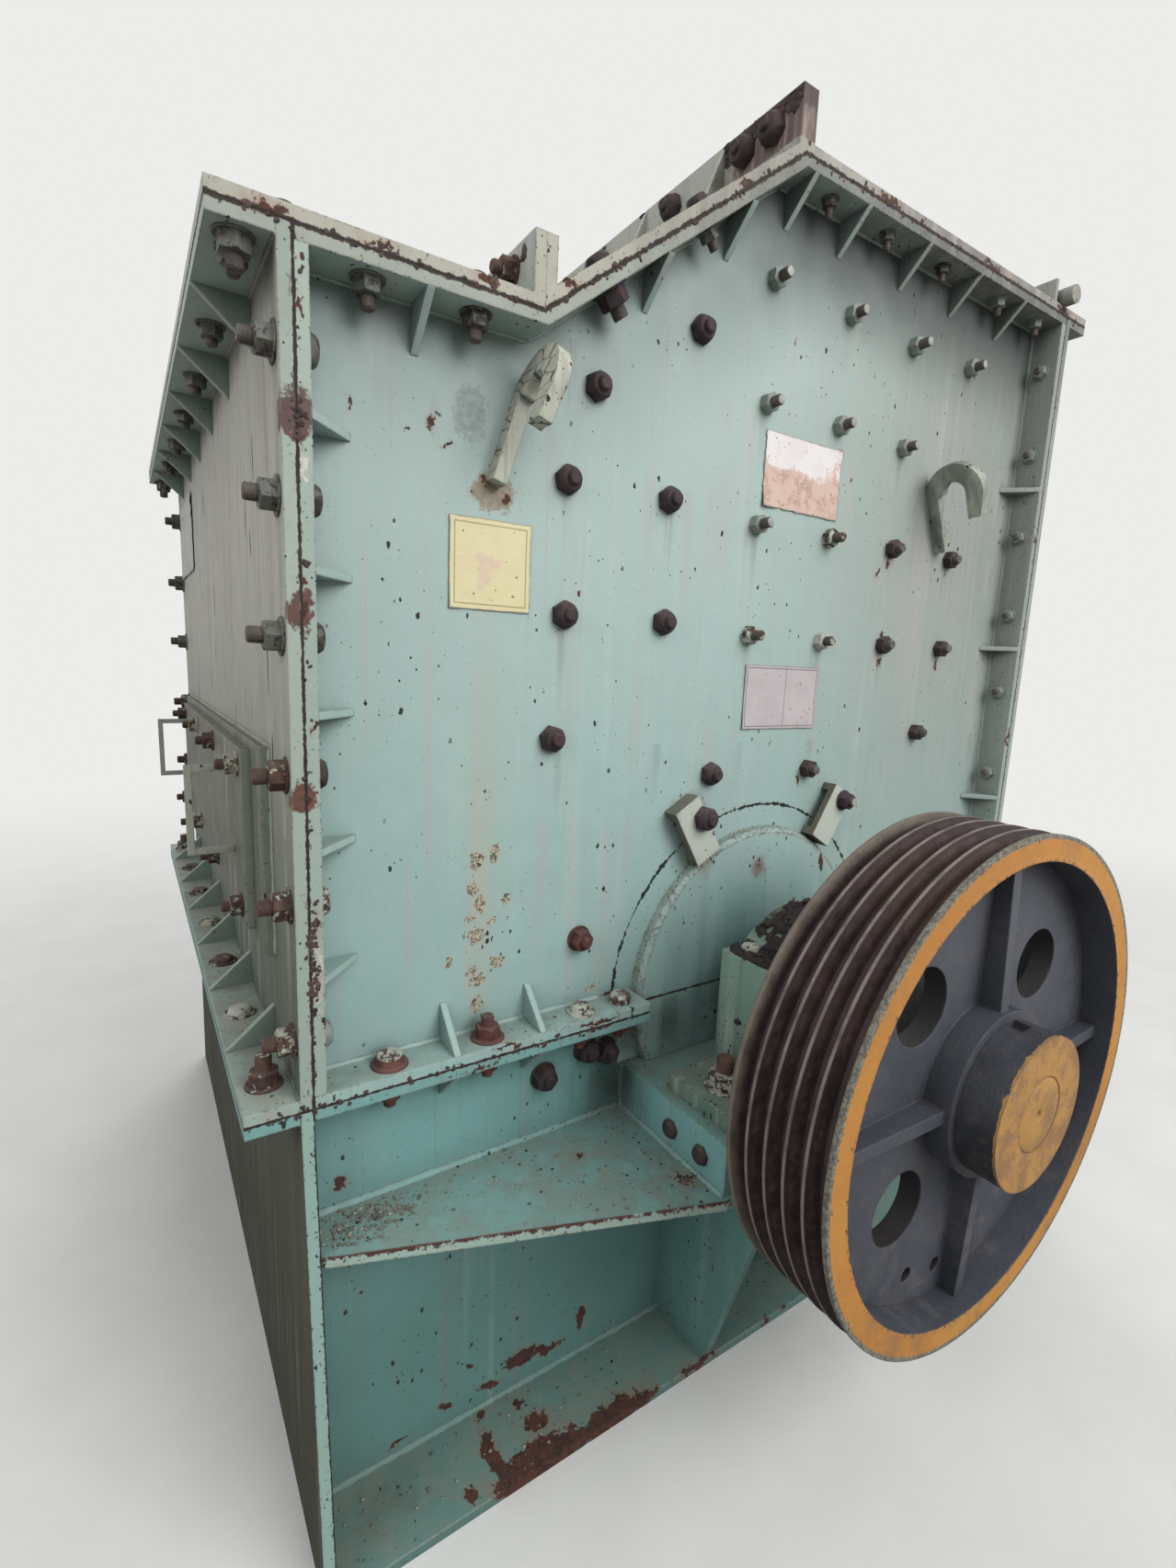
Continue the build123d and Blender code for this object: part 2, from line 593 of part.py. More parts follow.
tile_places = [(TILE_X + TILE_PITCH * column, TILE_Z + TILE_PITCH * row)
               for row in range(-1, 4) for column in range(6)
               if row > -1 or column in (0, 1, 4, 5)]
tiles = [tile(x, z) for x, z in tile_places if z < roof_height(x)]
add("front_wear_tiles", *tiles)
add("rear_wear_tiles", *[mirrored(shape) for shape in tiles])

# Rotor: shaft with a square seat, discs, hammer pins and hammers
bearing_inside = HALF_WIDTH + BEARING_START
bearing_outside = bearing_inside + BEARING_LENGTH
rotor_half = (DISC_COUNT - 1) * DISC_PITCH / 2 + DISC_PLATE / 2
shaft_front = -HALF_WIDTH - PULLEY_FRONT - COLLAR_REACH
shaft_rear = bearing_outside - BEARING_END_WALL - SHAFT_END_GAP


def about_axis(shape, angle):
    """Turn a piece made above the origin about the rotor axis."""
    return Pos(AXIS_X, 0, AXIS_Z) * Rot(0, angle, 0) * shape


def square_bar(half, y0, y1):
    """A square bar along Y about the rotor axis."""
    return box(AXIS_X - half, AXIS_X + half, y0, y1, AXIS_Z - half, AXIS_Z + half)


shaft = square_bar(ROTOR_SEAT, -rotor_half - DISC_PLATE, rotor_half + DISC_PLATE)
shaft += shaft_cylinder(JOURNAL, -bearing_outside - JOURNAL_REACH, shaft_rear)
shaft += shaft_cylinder(PULLEY_SEAT, shaft_front + SHAFT_END_GAP, 0)
add("rotor_shaft", shaft)

pin_angles = [360.0 / PIN_COUNT * (step + 0.5) for step in range(PIN_COUNT)]


def pins(radius, half):
    """The hammer pins, or their holes when wider."""
    pin = shaft_cylinder(radius, -half, half, 0, PIN_PITCH_RADIUS)
    return [about_axis(pin, angle) for angle in pin_angles]


def disc_outline():
    """A square with clipped corners, which lie outside the hammer pins."""
    outline = []
    for step in range(4):
        for side in (-1, 1):
            corner = Vector(side * DISC_CLIP, DISC_CORNER).rotate(Axis.Z, 45 - 90 * step)
            outline.append((corner.X, corner.Y))
    return outline


pin_holes = pins(PIN_RADIUS + SEAT_CLEARANCE, rotor_half)
discs = []
for step in range(DISC_COUNT):
    y = (step - (DISC_COUNT - 1) / 2) * DISC_PITCH
    disc = side_plate(disc_outline(), y - DISC_PLATE / 2, y + DISC_PLATE / 2)
    disc = Pos(AXIS_X, 0, AXIS_Z) * disc
    disc -= square_bar(ROTOR_SEAT + SEAT_CLEARANCE, y - DISC_PLATE, y + DISC_PLATE)
    for hole in pin_holes:
        disc -= hole
    discs.append(disc)
add("rotor_discs", *discs)
add("hammer_pins", *pins(PIN_RADIUS, rotor_half))

# Hammers hang in pairs on opposite pins, a quarter turn on from one gap to the next
hammer_half = (DISC_PITCH - DISC_PLATE) / 2 - HAMMER_SIDE_GAP
hammer_top = PIN_PITCH_RADIUS + HAMMER_LENGTH - HAMMER_EYE_END
hammer_eye = PIN_PITCH_RADIUS - HAMMER_EYE_END
half_hammer = HAMMER_WIDTH / 2
hammer_outline = [
    (-HAMMER_WIDTH / 3, hammer_eye), (HAMMER_WIDTH / 3, hammer_eye),
    (half_hammer, PIN_PITCH_RADIUS), (half_hammer, hammer_top),
    (-half_hammer, hammer_top), (-half_hammer, PIN_PITCH_RADIUS),
]
hammers = []
for step in range(DISC_COUNT - 1):
    y = (step - (DISC_COUNT - 2) / 2) * DISC_PITCH
    hammer = side_plate(hammer_outline, y - hammer_half, y + hammer_half)
    hammer -= shaft_cylinder(PIN_RADIUS + SEAT_CLEARANCE, y - hammer_half, y + hammer_half,
                             0, PIN_PITCH_RADIUS)
    hammers += [about_axis(hammer, angle) for angle in pin_angles[step % 2::2]]
add("hammers", *hammers)

# Drive pulley: grooved rim
rim_front = -HALF_WIDTH - PULLEY_FRONT
rim_back = rim_front + PULLEY_WIDTH
web_front = rim_front + WEB_RECESS
web_back = web_front + WEB_PLATE


def turned(profile):
    """A solid of revolution about the rotor axis, from its radii and Y places."""
    face = make_face(Polyline(*[(radius, y, 0) for radius, y in profile], close=True))
    return Pos(AXIS_X, 0, AXIS_Z) * revolve(face, axis=Axis.Y)


rim_profile = [(RIM_INNER, rim_back), (RIM_INNER, rim_front), (PULLEY_RADIUS, rim_front)]
for groove in range(GROOVE_COUNT):
    middle = rim_front + GROOVE_EDGE + groove * GROOVE_PITCH
    rim_profile += [
        (PULLEY_RADIUS, middle - GROOVE_TOP / 2),
        (PULLEY_RADIUS - GROOVE_DEPTH, middle - GROOVE_BOTTOM / 2),
        (PULLEY_RADIUS - GROOVE_DEPTH, middle + GROOVE_BOTTOM / 2),
        (PULLEY_RADIUS, middle + GROOVE_TOP / 2),
    ]
rim_profile.append((PULLEY_RADIUS, rim_back))
add("pulley_rim", turned(rim_profile))

# Pulley web: a disc with round holes, four ribs up to the hub, and the hub
hub_bore = PULLEY_SEAT + SEAT_CLEARANCE
web = turned([(hub_bore, rim_front + HUB_RECESS), (HUB_RADIUS, rim_front + HUB_RECESS),
              (HUB_RADIUS, web_front), (RIM_INNER, web_front), (RIM_INNER, web_back),
              (HUB_RADIUS, web_back), (HUB_RADIUS, rim_back), (hub_bore, rim_back)])
rib_inner = HUB_RADIUS - RIB_ROOT
rib_outline = [(rib_inner, web_front + RIB_ROOT), (RIM_INNER, web_front + RIB_ROOT),
               (RIM_INNER, web_front - WEB_RECESS / 2), (rib_inner, rim_front + RIB_DROP)]
rib_face = make_face(Polyline(*[(radius, y, 0) for radius, y in rib_outline], close=True))
rib = extrude(rib_face, amount=RIB_PLATE / 2, both=True)
within_rim = shaft_cylinder(RIM_INNER, rim_front, web_back)
for step in range(4):
    web += about_axis(rib, 90 * step) & within_rim
for step in range(WEB_HOLE_COUNT):
    hole = shaft_cylinder(WEB_HOLE_RADIUS, web_front, web_back, WEB_HOLE_PITCH_RADIUS, 0)
    web -= about_axis(hole, 360 / WEB_HOLE_COUNT * (step + 0.5))
for angle in JACK_HOLE_ANGLES:
    hole = shaft_cylinder(JACK_HOLE_RADIUS, web_front, web_back, JACK_HOLE_PITCH_RADIUS, 0)
    web -= about_axis(hole, -angle)
add("pulley_web", web)

# Hub end: the collar outside the hub, with its key slot at the top
collar = turned([(hub_bore, rim_front + HUB_RECESS), (hub_bore, rim_front - COLLAR_REACH),
                 (COLLAR_RADIUS, rim_front - COLLAR_REACH),
                 (COLLAR_RADIUS, rim_front + HUB_RECESS)])
collar -= box(AXIS_X - KEY_SLOT_WIDTH / 2, AXIS_X + KEY_SLOT_WIDTH / 2,
              rim_front - COLLAR_REACH / 3, rim_front + HUB_RECESS,
              AXIS_Z + COLLAR_RADIUS - KEY_SLOT_DEPTH, AXIS_Z + COLLAR_RADIUS)
add("hub_collar", collar)

os.makedirs("parts", exist_ok=True)
for name, shape in nodes.items():
    export_step(shape, f"parts/{name}.step")
print(len(nodes), "nodes written")
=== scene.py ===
import json
import math
import random
from functools import partialmethod

import bpy
from mathutils import Matrix, Vector, noise


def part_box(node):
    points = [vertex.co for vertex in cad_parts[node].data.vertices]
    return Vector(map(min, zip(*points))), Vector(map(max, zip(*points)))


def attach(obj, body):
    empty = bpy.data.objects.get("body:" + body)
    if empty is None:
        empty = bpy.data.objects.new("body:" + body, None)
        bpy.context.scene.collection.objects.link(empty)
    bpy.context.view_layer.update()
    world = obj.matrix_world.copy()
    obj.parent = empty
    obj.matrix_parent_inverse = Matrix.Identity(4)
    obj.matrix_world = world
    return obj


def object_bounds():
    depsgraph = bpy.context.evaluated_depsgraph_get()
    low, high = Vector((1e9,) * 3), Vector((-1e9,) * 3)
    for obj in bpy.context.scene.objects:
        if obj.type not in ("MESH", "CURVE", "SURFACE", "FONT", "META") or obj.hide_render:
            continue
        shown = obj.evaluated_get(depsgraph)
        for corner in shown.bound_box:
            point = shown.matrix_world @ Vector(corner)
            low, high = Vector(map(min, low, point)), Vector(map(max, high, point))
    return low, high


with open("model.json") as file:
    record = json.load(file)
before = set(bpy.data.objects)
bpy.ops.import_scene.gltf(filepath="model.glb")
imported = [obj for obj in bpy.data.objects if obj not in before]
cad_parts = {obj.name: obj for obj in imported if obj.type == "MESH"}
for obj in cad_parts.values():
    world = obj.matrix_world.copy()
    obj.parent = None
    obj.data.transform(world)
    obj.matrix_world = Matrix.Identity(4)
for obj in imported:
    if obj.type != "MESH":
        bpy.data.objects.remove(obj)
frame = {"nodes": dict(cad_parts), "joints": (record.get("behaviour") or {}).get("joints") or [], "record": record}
cad_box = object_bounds()

# Planes and heights of the machine, read from the frame, in metres
(WALL_LEFT, WALL, _), (WALL_RIGHT, _, _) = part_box("upper_front_wall")
(END_LEFT, _, _), (_, _, LOW_ROOF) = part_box("upper_left_end")
END_RIGHT, _, HIGH_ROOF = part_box("upper_right_end")[1]
FLANGE_EDGE, FLANGE_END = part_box("top_flange")[0].y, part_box("top_flange")[1].x
FLANGE_MIDDLE = (WALL + FLANGE_EDGE) / 2
END_MIDDLE = (END_RIGHT + FLANGE_END) / 2
SPLIT, SPLIT_TOP = (corner.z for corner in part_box("upper_split_flange"))
SPLIT_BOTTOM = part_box("base_split_flange")[0].z
VALLEY_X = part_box("low_roof_cover")[1].x
PEAK_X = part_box("high_roof_cover")[0].x
ROOF_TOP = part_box("slope_roof_cover")[1].z
SLOPE = math.atan2(HIGH_ROOF - LOW_ROOF, PEAK_X - VALLEY_X)
SHELF_EDGE, SHELF_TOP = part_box("front_shelf")[0].y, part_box("front_shelf")[1].z
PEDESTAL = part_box("front_pedestal")
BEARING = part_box("front_bearing")
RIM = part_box("pulley_rim")
COLLAR_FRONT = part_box("hub_collar")[0].y
HATCH_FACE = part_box("inspection_cover")[0].x
FOOT_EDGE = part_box("foot_flanges")[0].y
CLAMP_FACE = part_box("cover_clamps")[0].y
AXIS = Vector(frame["joints"][0]["pos_m"])
COVER_RING, RING_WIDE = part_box("upper_shaft_covers")[1].z - AXIS.z, 0.003

# Measures of single parts, in metres
DRUM_RING, DRUM_WIDE = 0.345, 0.014
RIM_INSIDE = 0.415
PLATE = 0.02
ROW_PITCH = 0.269
SPLIT_GAP = 0.431
BEARING_LEDGE, FOOT_THICK = 0.985, 0.035
VALLEY_TOP = LOW_ROOF + 0.11
NUT_LEFT, NUT_LOW, NUT_PITCH = -0.394, 1.637, 0.235

# Viewpoint of the picture
CAMERA_PLACE = (-1.1931, -1.9512, 1.5572)
CAMERA_RIGHT = (0.8383, -0.54372, 0.04035)
CAMERA_UP = (0.05628, 0.1599, 0.98553)
FOCAL_PIXELS = 775.2
PICTURE_HEIGHT = 1706
SENSOR = 36.0


def rgb(red, green, blue):
    """A linear colour from the usual 0 to 255 values."""
    def linear(value):
        share = value / 255
        return share / 12.92 if share <= 0.04045 else ((share + 0.055) / 1.055) ** 2.4
    return (linear(red), linear(green), linear(blue), 1.0)


# Colours
SEA_GREEN = rgb(171, 190, 184)
SEA_GREEN_LOW = rgb(155, 185, 180)
FADED = rgb(138, 144, 136)
TEAL = rgb(121, 166, 163)
# The teal below the shelf: painted shade of the shelf
TEAL_SHADED = rgb(98, 140, 135)
ROOF_GREEN = rgb(177, 180, 169)
BEARING_GREEN = rgb(127, 156, 141)
CREAM = rgb(186, 189, 177)
RUST_DARK = rgb(54, 36, 32)
RUST = rgb(80, 49, 40)
RUST_ORANGE = rgb(148, 88, 54)
PLUM = rgb(62, 45, 47)
PLUM_DARK = rgb(42, 32, 34)
# Corner darkening: a grimy film and painted shade
GRIME_AND_SHADE = rgb(70, 74, 72)
# Darkening under the roof: a sooty film and painted shade
SOOT_AND_SHADE = rgb(56, 62, 60)
DUST = rgb(124, 130, 116)
SPECK = rgb(36, 44, 38)
SEAM = rgb(50, 38, 34)
DRIP = rgb(112, 110, 102)
RUN_BROWN = rgb(124, 118, 108)
RUN_PINK = rgb(178, 170, 166)
RUN_PALE = rgb(190, 196, 188)
SLATE = rgb(68, 71, 80)
SLATE_DARK = rgb(44, 46, 52)
ORANGE_YELLOW = rgb(194, 137, 64)
GROOVE_BROWN = rgb(44, 31, 30)
GROOVE_WORN = rgb(84, 66, 66)
BARE_STEEL = rgb(146, 144, 142)
SIGN_LINE = rgb(92, 84, 86)
FLOOR_PALE = rgb(222, 221, 217)
FLOOR_SHADE = rgb(128, 126, 120)
BACKDROP = rgb(236, 236, 234)


# Materials: node outputs that can be reckoned with, and one function for each kind of finish
class Value:
    """An output of a node. Arithmetic on it adds nodes to the same tree."""

    def __init__(self, wiring, socket):
        self.wiring = wiring
        self.socket = socket

    def math(self, operation, other=0.0, turned=False):
        pair = (other, self) if turned else (self, other)
        return self.wiring.add("Math", pair, operation=operation)

    __add__ = partialmethod(math, "ADD")
    __sub__ = partialmethod(math, "SUBTRACT")
    __rsub__ = partialmethod(math, "SUBTRACT", turned=True)
    __mul__ = partialmethod(math, "MULTIPLY")
    __truediv__ = partialmethod(math, "DIVIDE")
    __lt__ = partialmethod(math, "LESS_THAN")
    __gt__ = partialmethod(math, "GREATER_THAN")
    __abs__ = partialmethod(math, "ABSOLUTE")
    least = partialmethod(math, "MINIMUM")
    fraction = partialmethod(math, "FRACT")
    root = partialmethod(math, "SQRT")

    def away(self, target):
        return abs(self - target)

    def clamped(self):
        self.socket.node.use_clamp = True
        return self

    def band(self, low, high, start=0.0, end=1.0):
        """A smooth step of this value between two limits."""
        return self.wiring.add("MapRange", (self, low, high, start, end),
                               interpolation_type="SMOOTHSTEP")

    def coat(self, share, tint):
        """Lay a tint over this colour, as thick as the share says."""
        self.socket = self.wiring.mix(share, self, tint).socket


def most(first, *others):
    """The largest of some values."""
    for other in others:
        first = first.math("MAXIMUM", other)
    return first


class Tree:
    """Adds nodes to a node tree one at a time and hands back their outputs as values."""

    def __init__(self, tree):
        self.tree = tree

    def node(self, kind, inputs=(), **settings):
        node = self.tree.nodes.new("ShaderNode" + kind)
        for key, value in settings.items():
            setattr(node, key, value)
        for key, value in inputs.items() if isinstance(inputs, dict) else enumerate(inputs):
            self.give(node.inputs[key], value)
        return node

    def give(self, socket, value):
        if isinstance(value, Value):
            self.tree.links.new(value.socket, socket)
        else:
            socket.default_value = value

    def values(self, node, *outputs):
        return [Value(self, node.outputs[output]) for output in outputs]

    def add(self, kind, inputs=(), output=0, **settings):
        return self.values(self.node(kind, inputs, **settings), output)[0]

    def vector(self, operation, *inputs, output=0):
        return self.add("VectorMath", inputs, output, operation=operation)

    def rays(self):
        """Whether a ray comes from the camera, and whether from there or from a glossy face."""
        seen, glossy = self.values(self.node("LightPath"), "Is Camera Ray", "Is Glossy Ray")
        return seen, most(seen, glossy)

    def blend(self, share, first, second, output):
        """Show one shader instead of another by a share."""
        mixed = self.add("MixShader", (share, first, second))
        self.give(self.tree.nodes[output].inputs["Surface"], mixed)


FINISHES = {}


class Wiring(Tree):
    """The node tree of a new material, which joins the finishes when it is finished."""

    def __init__(self, name, soft=0.004):
        self.name = name
        self.material = bpy.data.materials.new(name)
        self.material.use_nodes = True
        super().__init__(self.material.node_tree)
        self.shader = self.tree.nodes["Principled BSDF"]
        self.place = self.add("TexCoord", output="Object")
        self.x, self.y, self.z = self.parts(self.place)
        self.true_normal = self.add("NewGeometry", output="Normal")
        turned = self.add("VectorTransform", (self.true_normal,), vector_type="NORMAL",
                          convert_from="WORLD", convert_to="OBJECT")
        _, self.normal_y, self.normal_z = self.parts(turned)
        self.warped = None
        self.soft = self.add("Bevel", {"Radius": soft}, samples=3) if soft else None

    def parts(self, vector):
        return self.values(self.node("SeparateXYZ", (vector,)), 0, 1, 2)

    def radius(self):
        """The distance to the rotor's axis."""
        across, rise = self.x - AXIS.x, self.z - AXIS.z
        return (across * across + rise * rise).root()

    def stretched(self, x, y, z):
        return self.vector("MULTIPLY", self.place, (x, y, z))

    def shifted(self, place, shift, reach):
        move = self.add("VectorMath", {0: shift, "Scale": reach}, operation="SCALE")
        return self.vector("ADD", place, move)

    def noise(self, scale, detail=3.0, rough=0.55):
        """Noise of one scale, or of a scale for each direction."""
        place = self.place
        if isinstance(scale, tuple):
            place, scale = self.stretched(*scale), 1.0
        return self.add("TexNoise", {"Vector": place, "Scale": scale, "Detail": detail,
                                     "Roughness": rough})

    def mix(self, share, first, second):
        return self.add("Mix", {0: share, 6: first, 7: second}, 2, data_type="RGBA")

    def shade(self, colour, value):
        """A colour made lighter or darker by a factor."""
        return self.add("HueSaturation", {"Value": value, "Color": colour})

    def edges(self):
        """How close a point is to a sharp edge of its solid, from 0 on a flat face."""
        same = self.vector("DOT_PRODUCT", self.soft, self.true_normal, output="Value")
        return (1.0 - same).clamped()

    def corners(self, distance):
        """How enclosed a point is, from 0 in the open to 1 deep in a corner."""
        open_sky = self.add("AmbientOcclusion", {"Distance": distance}, "AO", samples=4)
        return (1.0 - open_sky).clamped()

    def flecks(self, scale, amount, tall=None, wobble=0.5):
        """Small specks with uneven outlines: one in some of the cells of a grid."""
        base = self.stretched(1.0, 1.0, tall) if tall else self.place
        if wobble:
            shift = self.add("TexNoise", {"Vector": base, "Scale": scale * 2.6, "Detail": 1.0}, 1)
            base = self.shifted(base, shift, wobble / scale)
        cells = self.node("TexVoronoi", {"Vector": base, "Scale": scale})
        colour, distance = self.values(cells, "Color", "Distance")
        chance = self.add("SeparateColor", (colour,))
        return (chance.band(1.0 - amount, 1.0, 0.0, 0.4) - distance).band(0.0, 0.03)

    def reach(self, spots):
        """How near a point is to the middle of any of some spots: place, half sizes, weight."""
        if not self.warped:
            bend = self.add("TexNoise", {"Vector": self.place, "Scale": 34.0, "Detail": 2.0,
                                         "Roughness": 0.6}, 1)
            centred = self.vector("SUBTRACT", bend, (0.5, 0.5, 0.5))
            self.warped = self.shifted(self.place, centred, 0.045)
        found = []
        for place, size, strength in spots:
            scaled = self.vector("DIVIDE", self.vector("SUBTRACT", self.warped, place), size)
            length = self.vector("LENGTH", scaled, output="Value")
            found.append(length.band(1.0, 0.0, 0.0, strength))
        return most(*found)

    def seams(self):
        """The height above the roof's joint, and the distance to the nearest flange joint."""
        rise = self.z - LOW_ROOF
        sloped = rise * math.cos(SLOPE) - (self.x - VALLEY_X) * math.sin(SLOPE)
        high = most(self.z - HIGH_ROOF, sloped)
        past_valley, past_peak = self.x > VALLEY_X, self.x > PEAK_X
        between = past_valley * (1.0 - past_peak)
        roof = rise * (1.0 - past_valley) + rise.least(sloped) * between + high * past_peak
        corner = abs(self.x).away(WALL_RIGHT)
        return roof, abs(roof).least(corner).least(self.z.away(SPLIT))

    def finish(self, colour, roughness, height, depth, metallic=0.0):
        bump = {"Height": height, "Distance": depth}
        if self.soft:
            bump["Normal"] = self.soft
        for name, value in (("Base Color", colour), ("Roughness", roughness),
                            ("Metallic", metallic), ("Normal", self.add("Bump", bump))):
            self.give(self.shader.inputs[name], value)
        FINISHES[self.name] = self.material


def rust_colour(w):
    """Brown rust that varies from nearly black to orange."""
    colour = w.mix(w.noise(34.0, 3.0, 0.65).band(0.4, 0.62), RUST_DARK, RUST)
    colour.coat(w.noise(240.0, 1.0, 0.6).band(0.52, 0.74) * 0.35, RUST_ORANGE)
    return colour


def paint(name, main, low, faded=None, chips=0.5, dust=0.3, grime_and_shade=0.6, streaks=0.3, specks=1.0,
          worn_edges=0.8, stains=(), blisters=(), patches=(), washes=(), low_from=2.1, low_to=0.9,
          soot_and_shade=0.0, drips=0.0, dashes=0.0, rusty_above=None, rusty_peak=False, ringed=False,
          drum=False, ledge=None, joints=True, dull=0.0, front=None, cracks=False,
          seam_wide=0.003, roof_only=False):
    """Faded paint on steel plate, chipped to rust, with streaks and dust, and a grimy, sooty darkening in corners
    and under the roof that is partly painted shade.
    """
    w = Wiring(name)
    ragged = w.noise(75.0, 4.0, 0.72)
    unsteady = ragged - 0.5
    grit = w.noise(130.0, 4.0, 0.68)
    mottled = w.noise(17.0, 3.0, 0.66)
    clump = w.noise(4.6, 2.0, 0.6)
    where = clump.band(0.36, 0.6)
    run = w.noise((24.0, 24.0, 0.7), 2.0, 0.6)
    thin_run = w.noise((90.0, 90.0, 1.5), 1.0, 0.5)

    # weathered coats of paint, with drips and dust, and a sooty and grimy darkening under the roof and in corners
    # that is partly painted shade
    colour = w.mix(w.z.band(low_from, low_to), main, low)
    if faded:
        colour.coat(w.x.band(-0.15, 0.75) * w.z.band(0.9, 2.0, 0.35, 0.85), faded)
    colour = w.shade(colour, w.noise(1.3, 1.0).band(0.3, 0.7, 0.47, 0.52)
                     + mottled.band(0.3, 0.7, 0.475, 0.525))
    streak = most(run.band(0.48, 0.7) * where, thin_run.band(0.58, 0.74))
    colour.coat(streak * streaks, RUN_PINK if faded else RUN_BROWN)
    pale_run = w.noise((31.0, 31.0, 0.6), 1.0, 0.6).band(0.52, 0.8)
    colour.coat(pale_run * where * streaks * 0.8, RUN_PALE)
    if front:
        colour.coat(abs(w.normal_y).band(0.5, 0.7) * 0.9, front)
    for place, size, tint, strength in washes:
        wash = w.reach([(place, size, strength)])
        colour.coat(wash * run.band(0.3, 0.62, 0.35, 1.0), tint)
    for place, size, tint, strength in patches:
        area = w.reach([(place, size, 1.0)])
        torn = (area * 0.6 + ragged * 0.5 + grit * 0.5).band(0.76, 0.88)
        colour.coat(torn * strength, w.shade(tint, ragged.band(0.36, 0.64, 0.72, 1.12)))
    roof, joint = w.seams()
    if roof_only:
        joint = abs(roof)
    # Under the roof's edge the wall darkens: a sooty film and painted shade of the roof
    if soot_and_shade:
        under = (roof.band(-0.34, -0.05) * roof.band(0.002, 0.0) * abs(w.normal_z).band(0.6, 0.2)
                 * w.noise(3.4, 2.0, 0.6).band(0.28, 0.58, 0.66, 1.0)
                 * w.x.band(-0.3, 0.05, 0.35, 1.0))
        colour.coat(under * soot_and_shade, SOOT_AND_SHADE)
    if drips:
        column = ((w.x - NUT_LEFT) * (1 / NUT_PITCH)).fraction().away(0.5)
        below = ((NUT_LOW + 10 * NUT_PITCH - w.z) * (1 / NUT_PITCH)).fraction()
        drip = ((column / below.band(0.0, 1.0, 0.075, 0.02)).band(1.0, 0.0)
                * below.band(0.75, 0.06) * thin_run.band(0.4, 0.6, 0.4, 1.0)
                * w.z.band(1.2, 1.35) * w.z.band(2.34, 2.33) * w.x.band(-0.62, -0.58) * where)
        colour.coat(drip * drips, DRIP)
    # Corners darken: a grimy film, and painted shade from the ambient occlusion, a little less on faces that look
    # down
    looks_down = w.normal_z.band(-0.5, -0.8, 0.0, 0.4)
    corner_soil_and_shade = (w.corners(0.14).band(0.18, 0.9) * mottled.band(0.2, 0.65, 0.45, 1.0)
            * (1.0 - looks_down).clamped())
    colour.coat(corner_soil_and_shade * grime_and_shade, GRIME_AND_SHADE)
    settled = w.normal_z.band(0.55, 0.9) * mottled.band(0.36, 0.6, 0.35, 1.0)
    colour.coat(settled * dust, DUST)
    if ledge:
        face = abs(w.normal_z).band(0.5, 0.3) * w.z.band(ledge - PLATE - 0.001, ledge - PLATE)
        colour.coat(face * 0.65, rgb(176, 190, 176))

    # worn edges, and chips that gather at edges, joints and rims
    edge = w.edges()
    worn = (edge + ragged * 0.5).band(0.33, 0.42)
    colour.coat(worn * worn_edges, CREAM)
    push = (edge.band(0.0, 0.15) + joint.band(0.016, 0.001) * 0.6) * where * 0.16
    if ledge:
        push += face * 0.055
    if drum:
        around = w.radius() + unsteady * 0.006
        rim = (around.band(DRUM_RING - DRUM_WIDE, DRUM_RING - DRUM_WIDE + 0.003)
               * (around < DRUM_RING + 0.004))
        colour.coat(rim * ragged.band(0.4, 0.6, 0.3, 0.8), rgb(142, 152, 142))
        push += rim * mottled.band(0.38, 0.56, 0.07, 0.17)
    if ringed:
        inner = COVER_RING - w.radius()
        push += inner.band(0.034, 0.004) * inner.band(0.0, 0.002) * 0.05
    flaked = (grit + push).band(0.672, 0.69) * chips
    small = w.flecks(105.0, 0.085 * specks, 0.62) * clump.band(0.44, 0.54)
    tiny = w.flecks(210.0, 0.055 * specks, 0.8, 0.0) * where
    holes = most(flaked, small, tiny)
    if dashes:
        holes = most(holes, w.flecks(48.0, 0.06 * dashes, 0.13, 0.25) * clump.band(0.45, 0.52))
    rust = rust_colour(w)
    colour.coat(holes, w.mix(mottled.band(0.52, 0.62), SPECK, rust))

    # single marks: blisters, rust stains, open joints, cracks and crust
    if blisters:
        area = w.reach(blisters)
        inside = (area + unsteady * 1.1).band(0.26, 0.4)
        colour.coat(area * 0.5, rgb(172, 158, 126))
        colour.coat(inside * 0.6, rgb(190, 182, 158))
        colour.coat(inside * grit.band(0.5, 0.62) * 0.8, rgb(150, 98, 60))
        veins = w.noise(110.0, 2.0, 0.6).away(0.5).band(0.045, 0.02)
        cracked = inside * most(veins, ragged.band(0.6, 0.64))
        colour.coat(cracked * 0.92, w.mix(grit.band(0.5, 0.6), SPECK, rust))
        holes = most(holes, cracked)
    if stains:
        reach = w.reach(stains)
        colour.coat(reach * mottled.band(0.35, 0.65) * 0.45, RUST_ORANGE)
        eaten = (reach * 0.42 + ragged * 0.6 + grit * 0.4).band(0.79, 0.82)
        colour.coat(eaten, rust)
        holes = most(holes, eaten)
    if ledge:
        crumb = (w.z + unsteady * 0.035).band(ledge - 0.008, ledge - 0.005)
        colour.coat(crumb * most(face, edge.band(0.003, 0.02)) * mottled.band(0.36, 0.42),
                    rgb(80, 50, 44))
    if joints:
        line = (joint + unsteady * (seam_wide * 2.6)).band(seam_wide, seam_wide * 0.55)
        holes = most(holes, line)
        colour.coat(line, SEAM)
    if cracks:
        cells = w.add("TexVoronoi", {"Vector": w.stretched(0.35, 0.35, 1.0), "Scale": 46.0},
                      "Distance", feature="DISTANCE_TO_EDGE")
        split = ((cells + unsteady * 0.25).band(0.045, 0.02) * abs(w.normal_y).band(0.7, 0.5)
                 * w.x.band(0.3, 0.2) * 0.8)
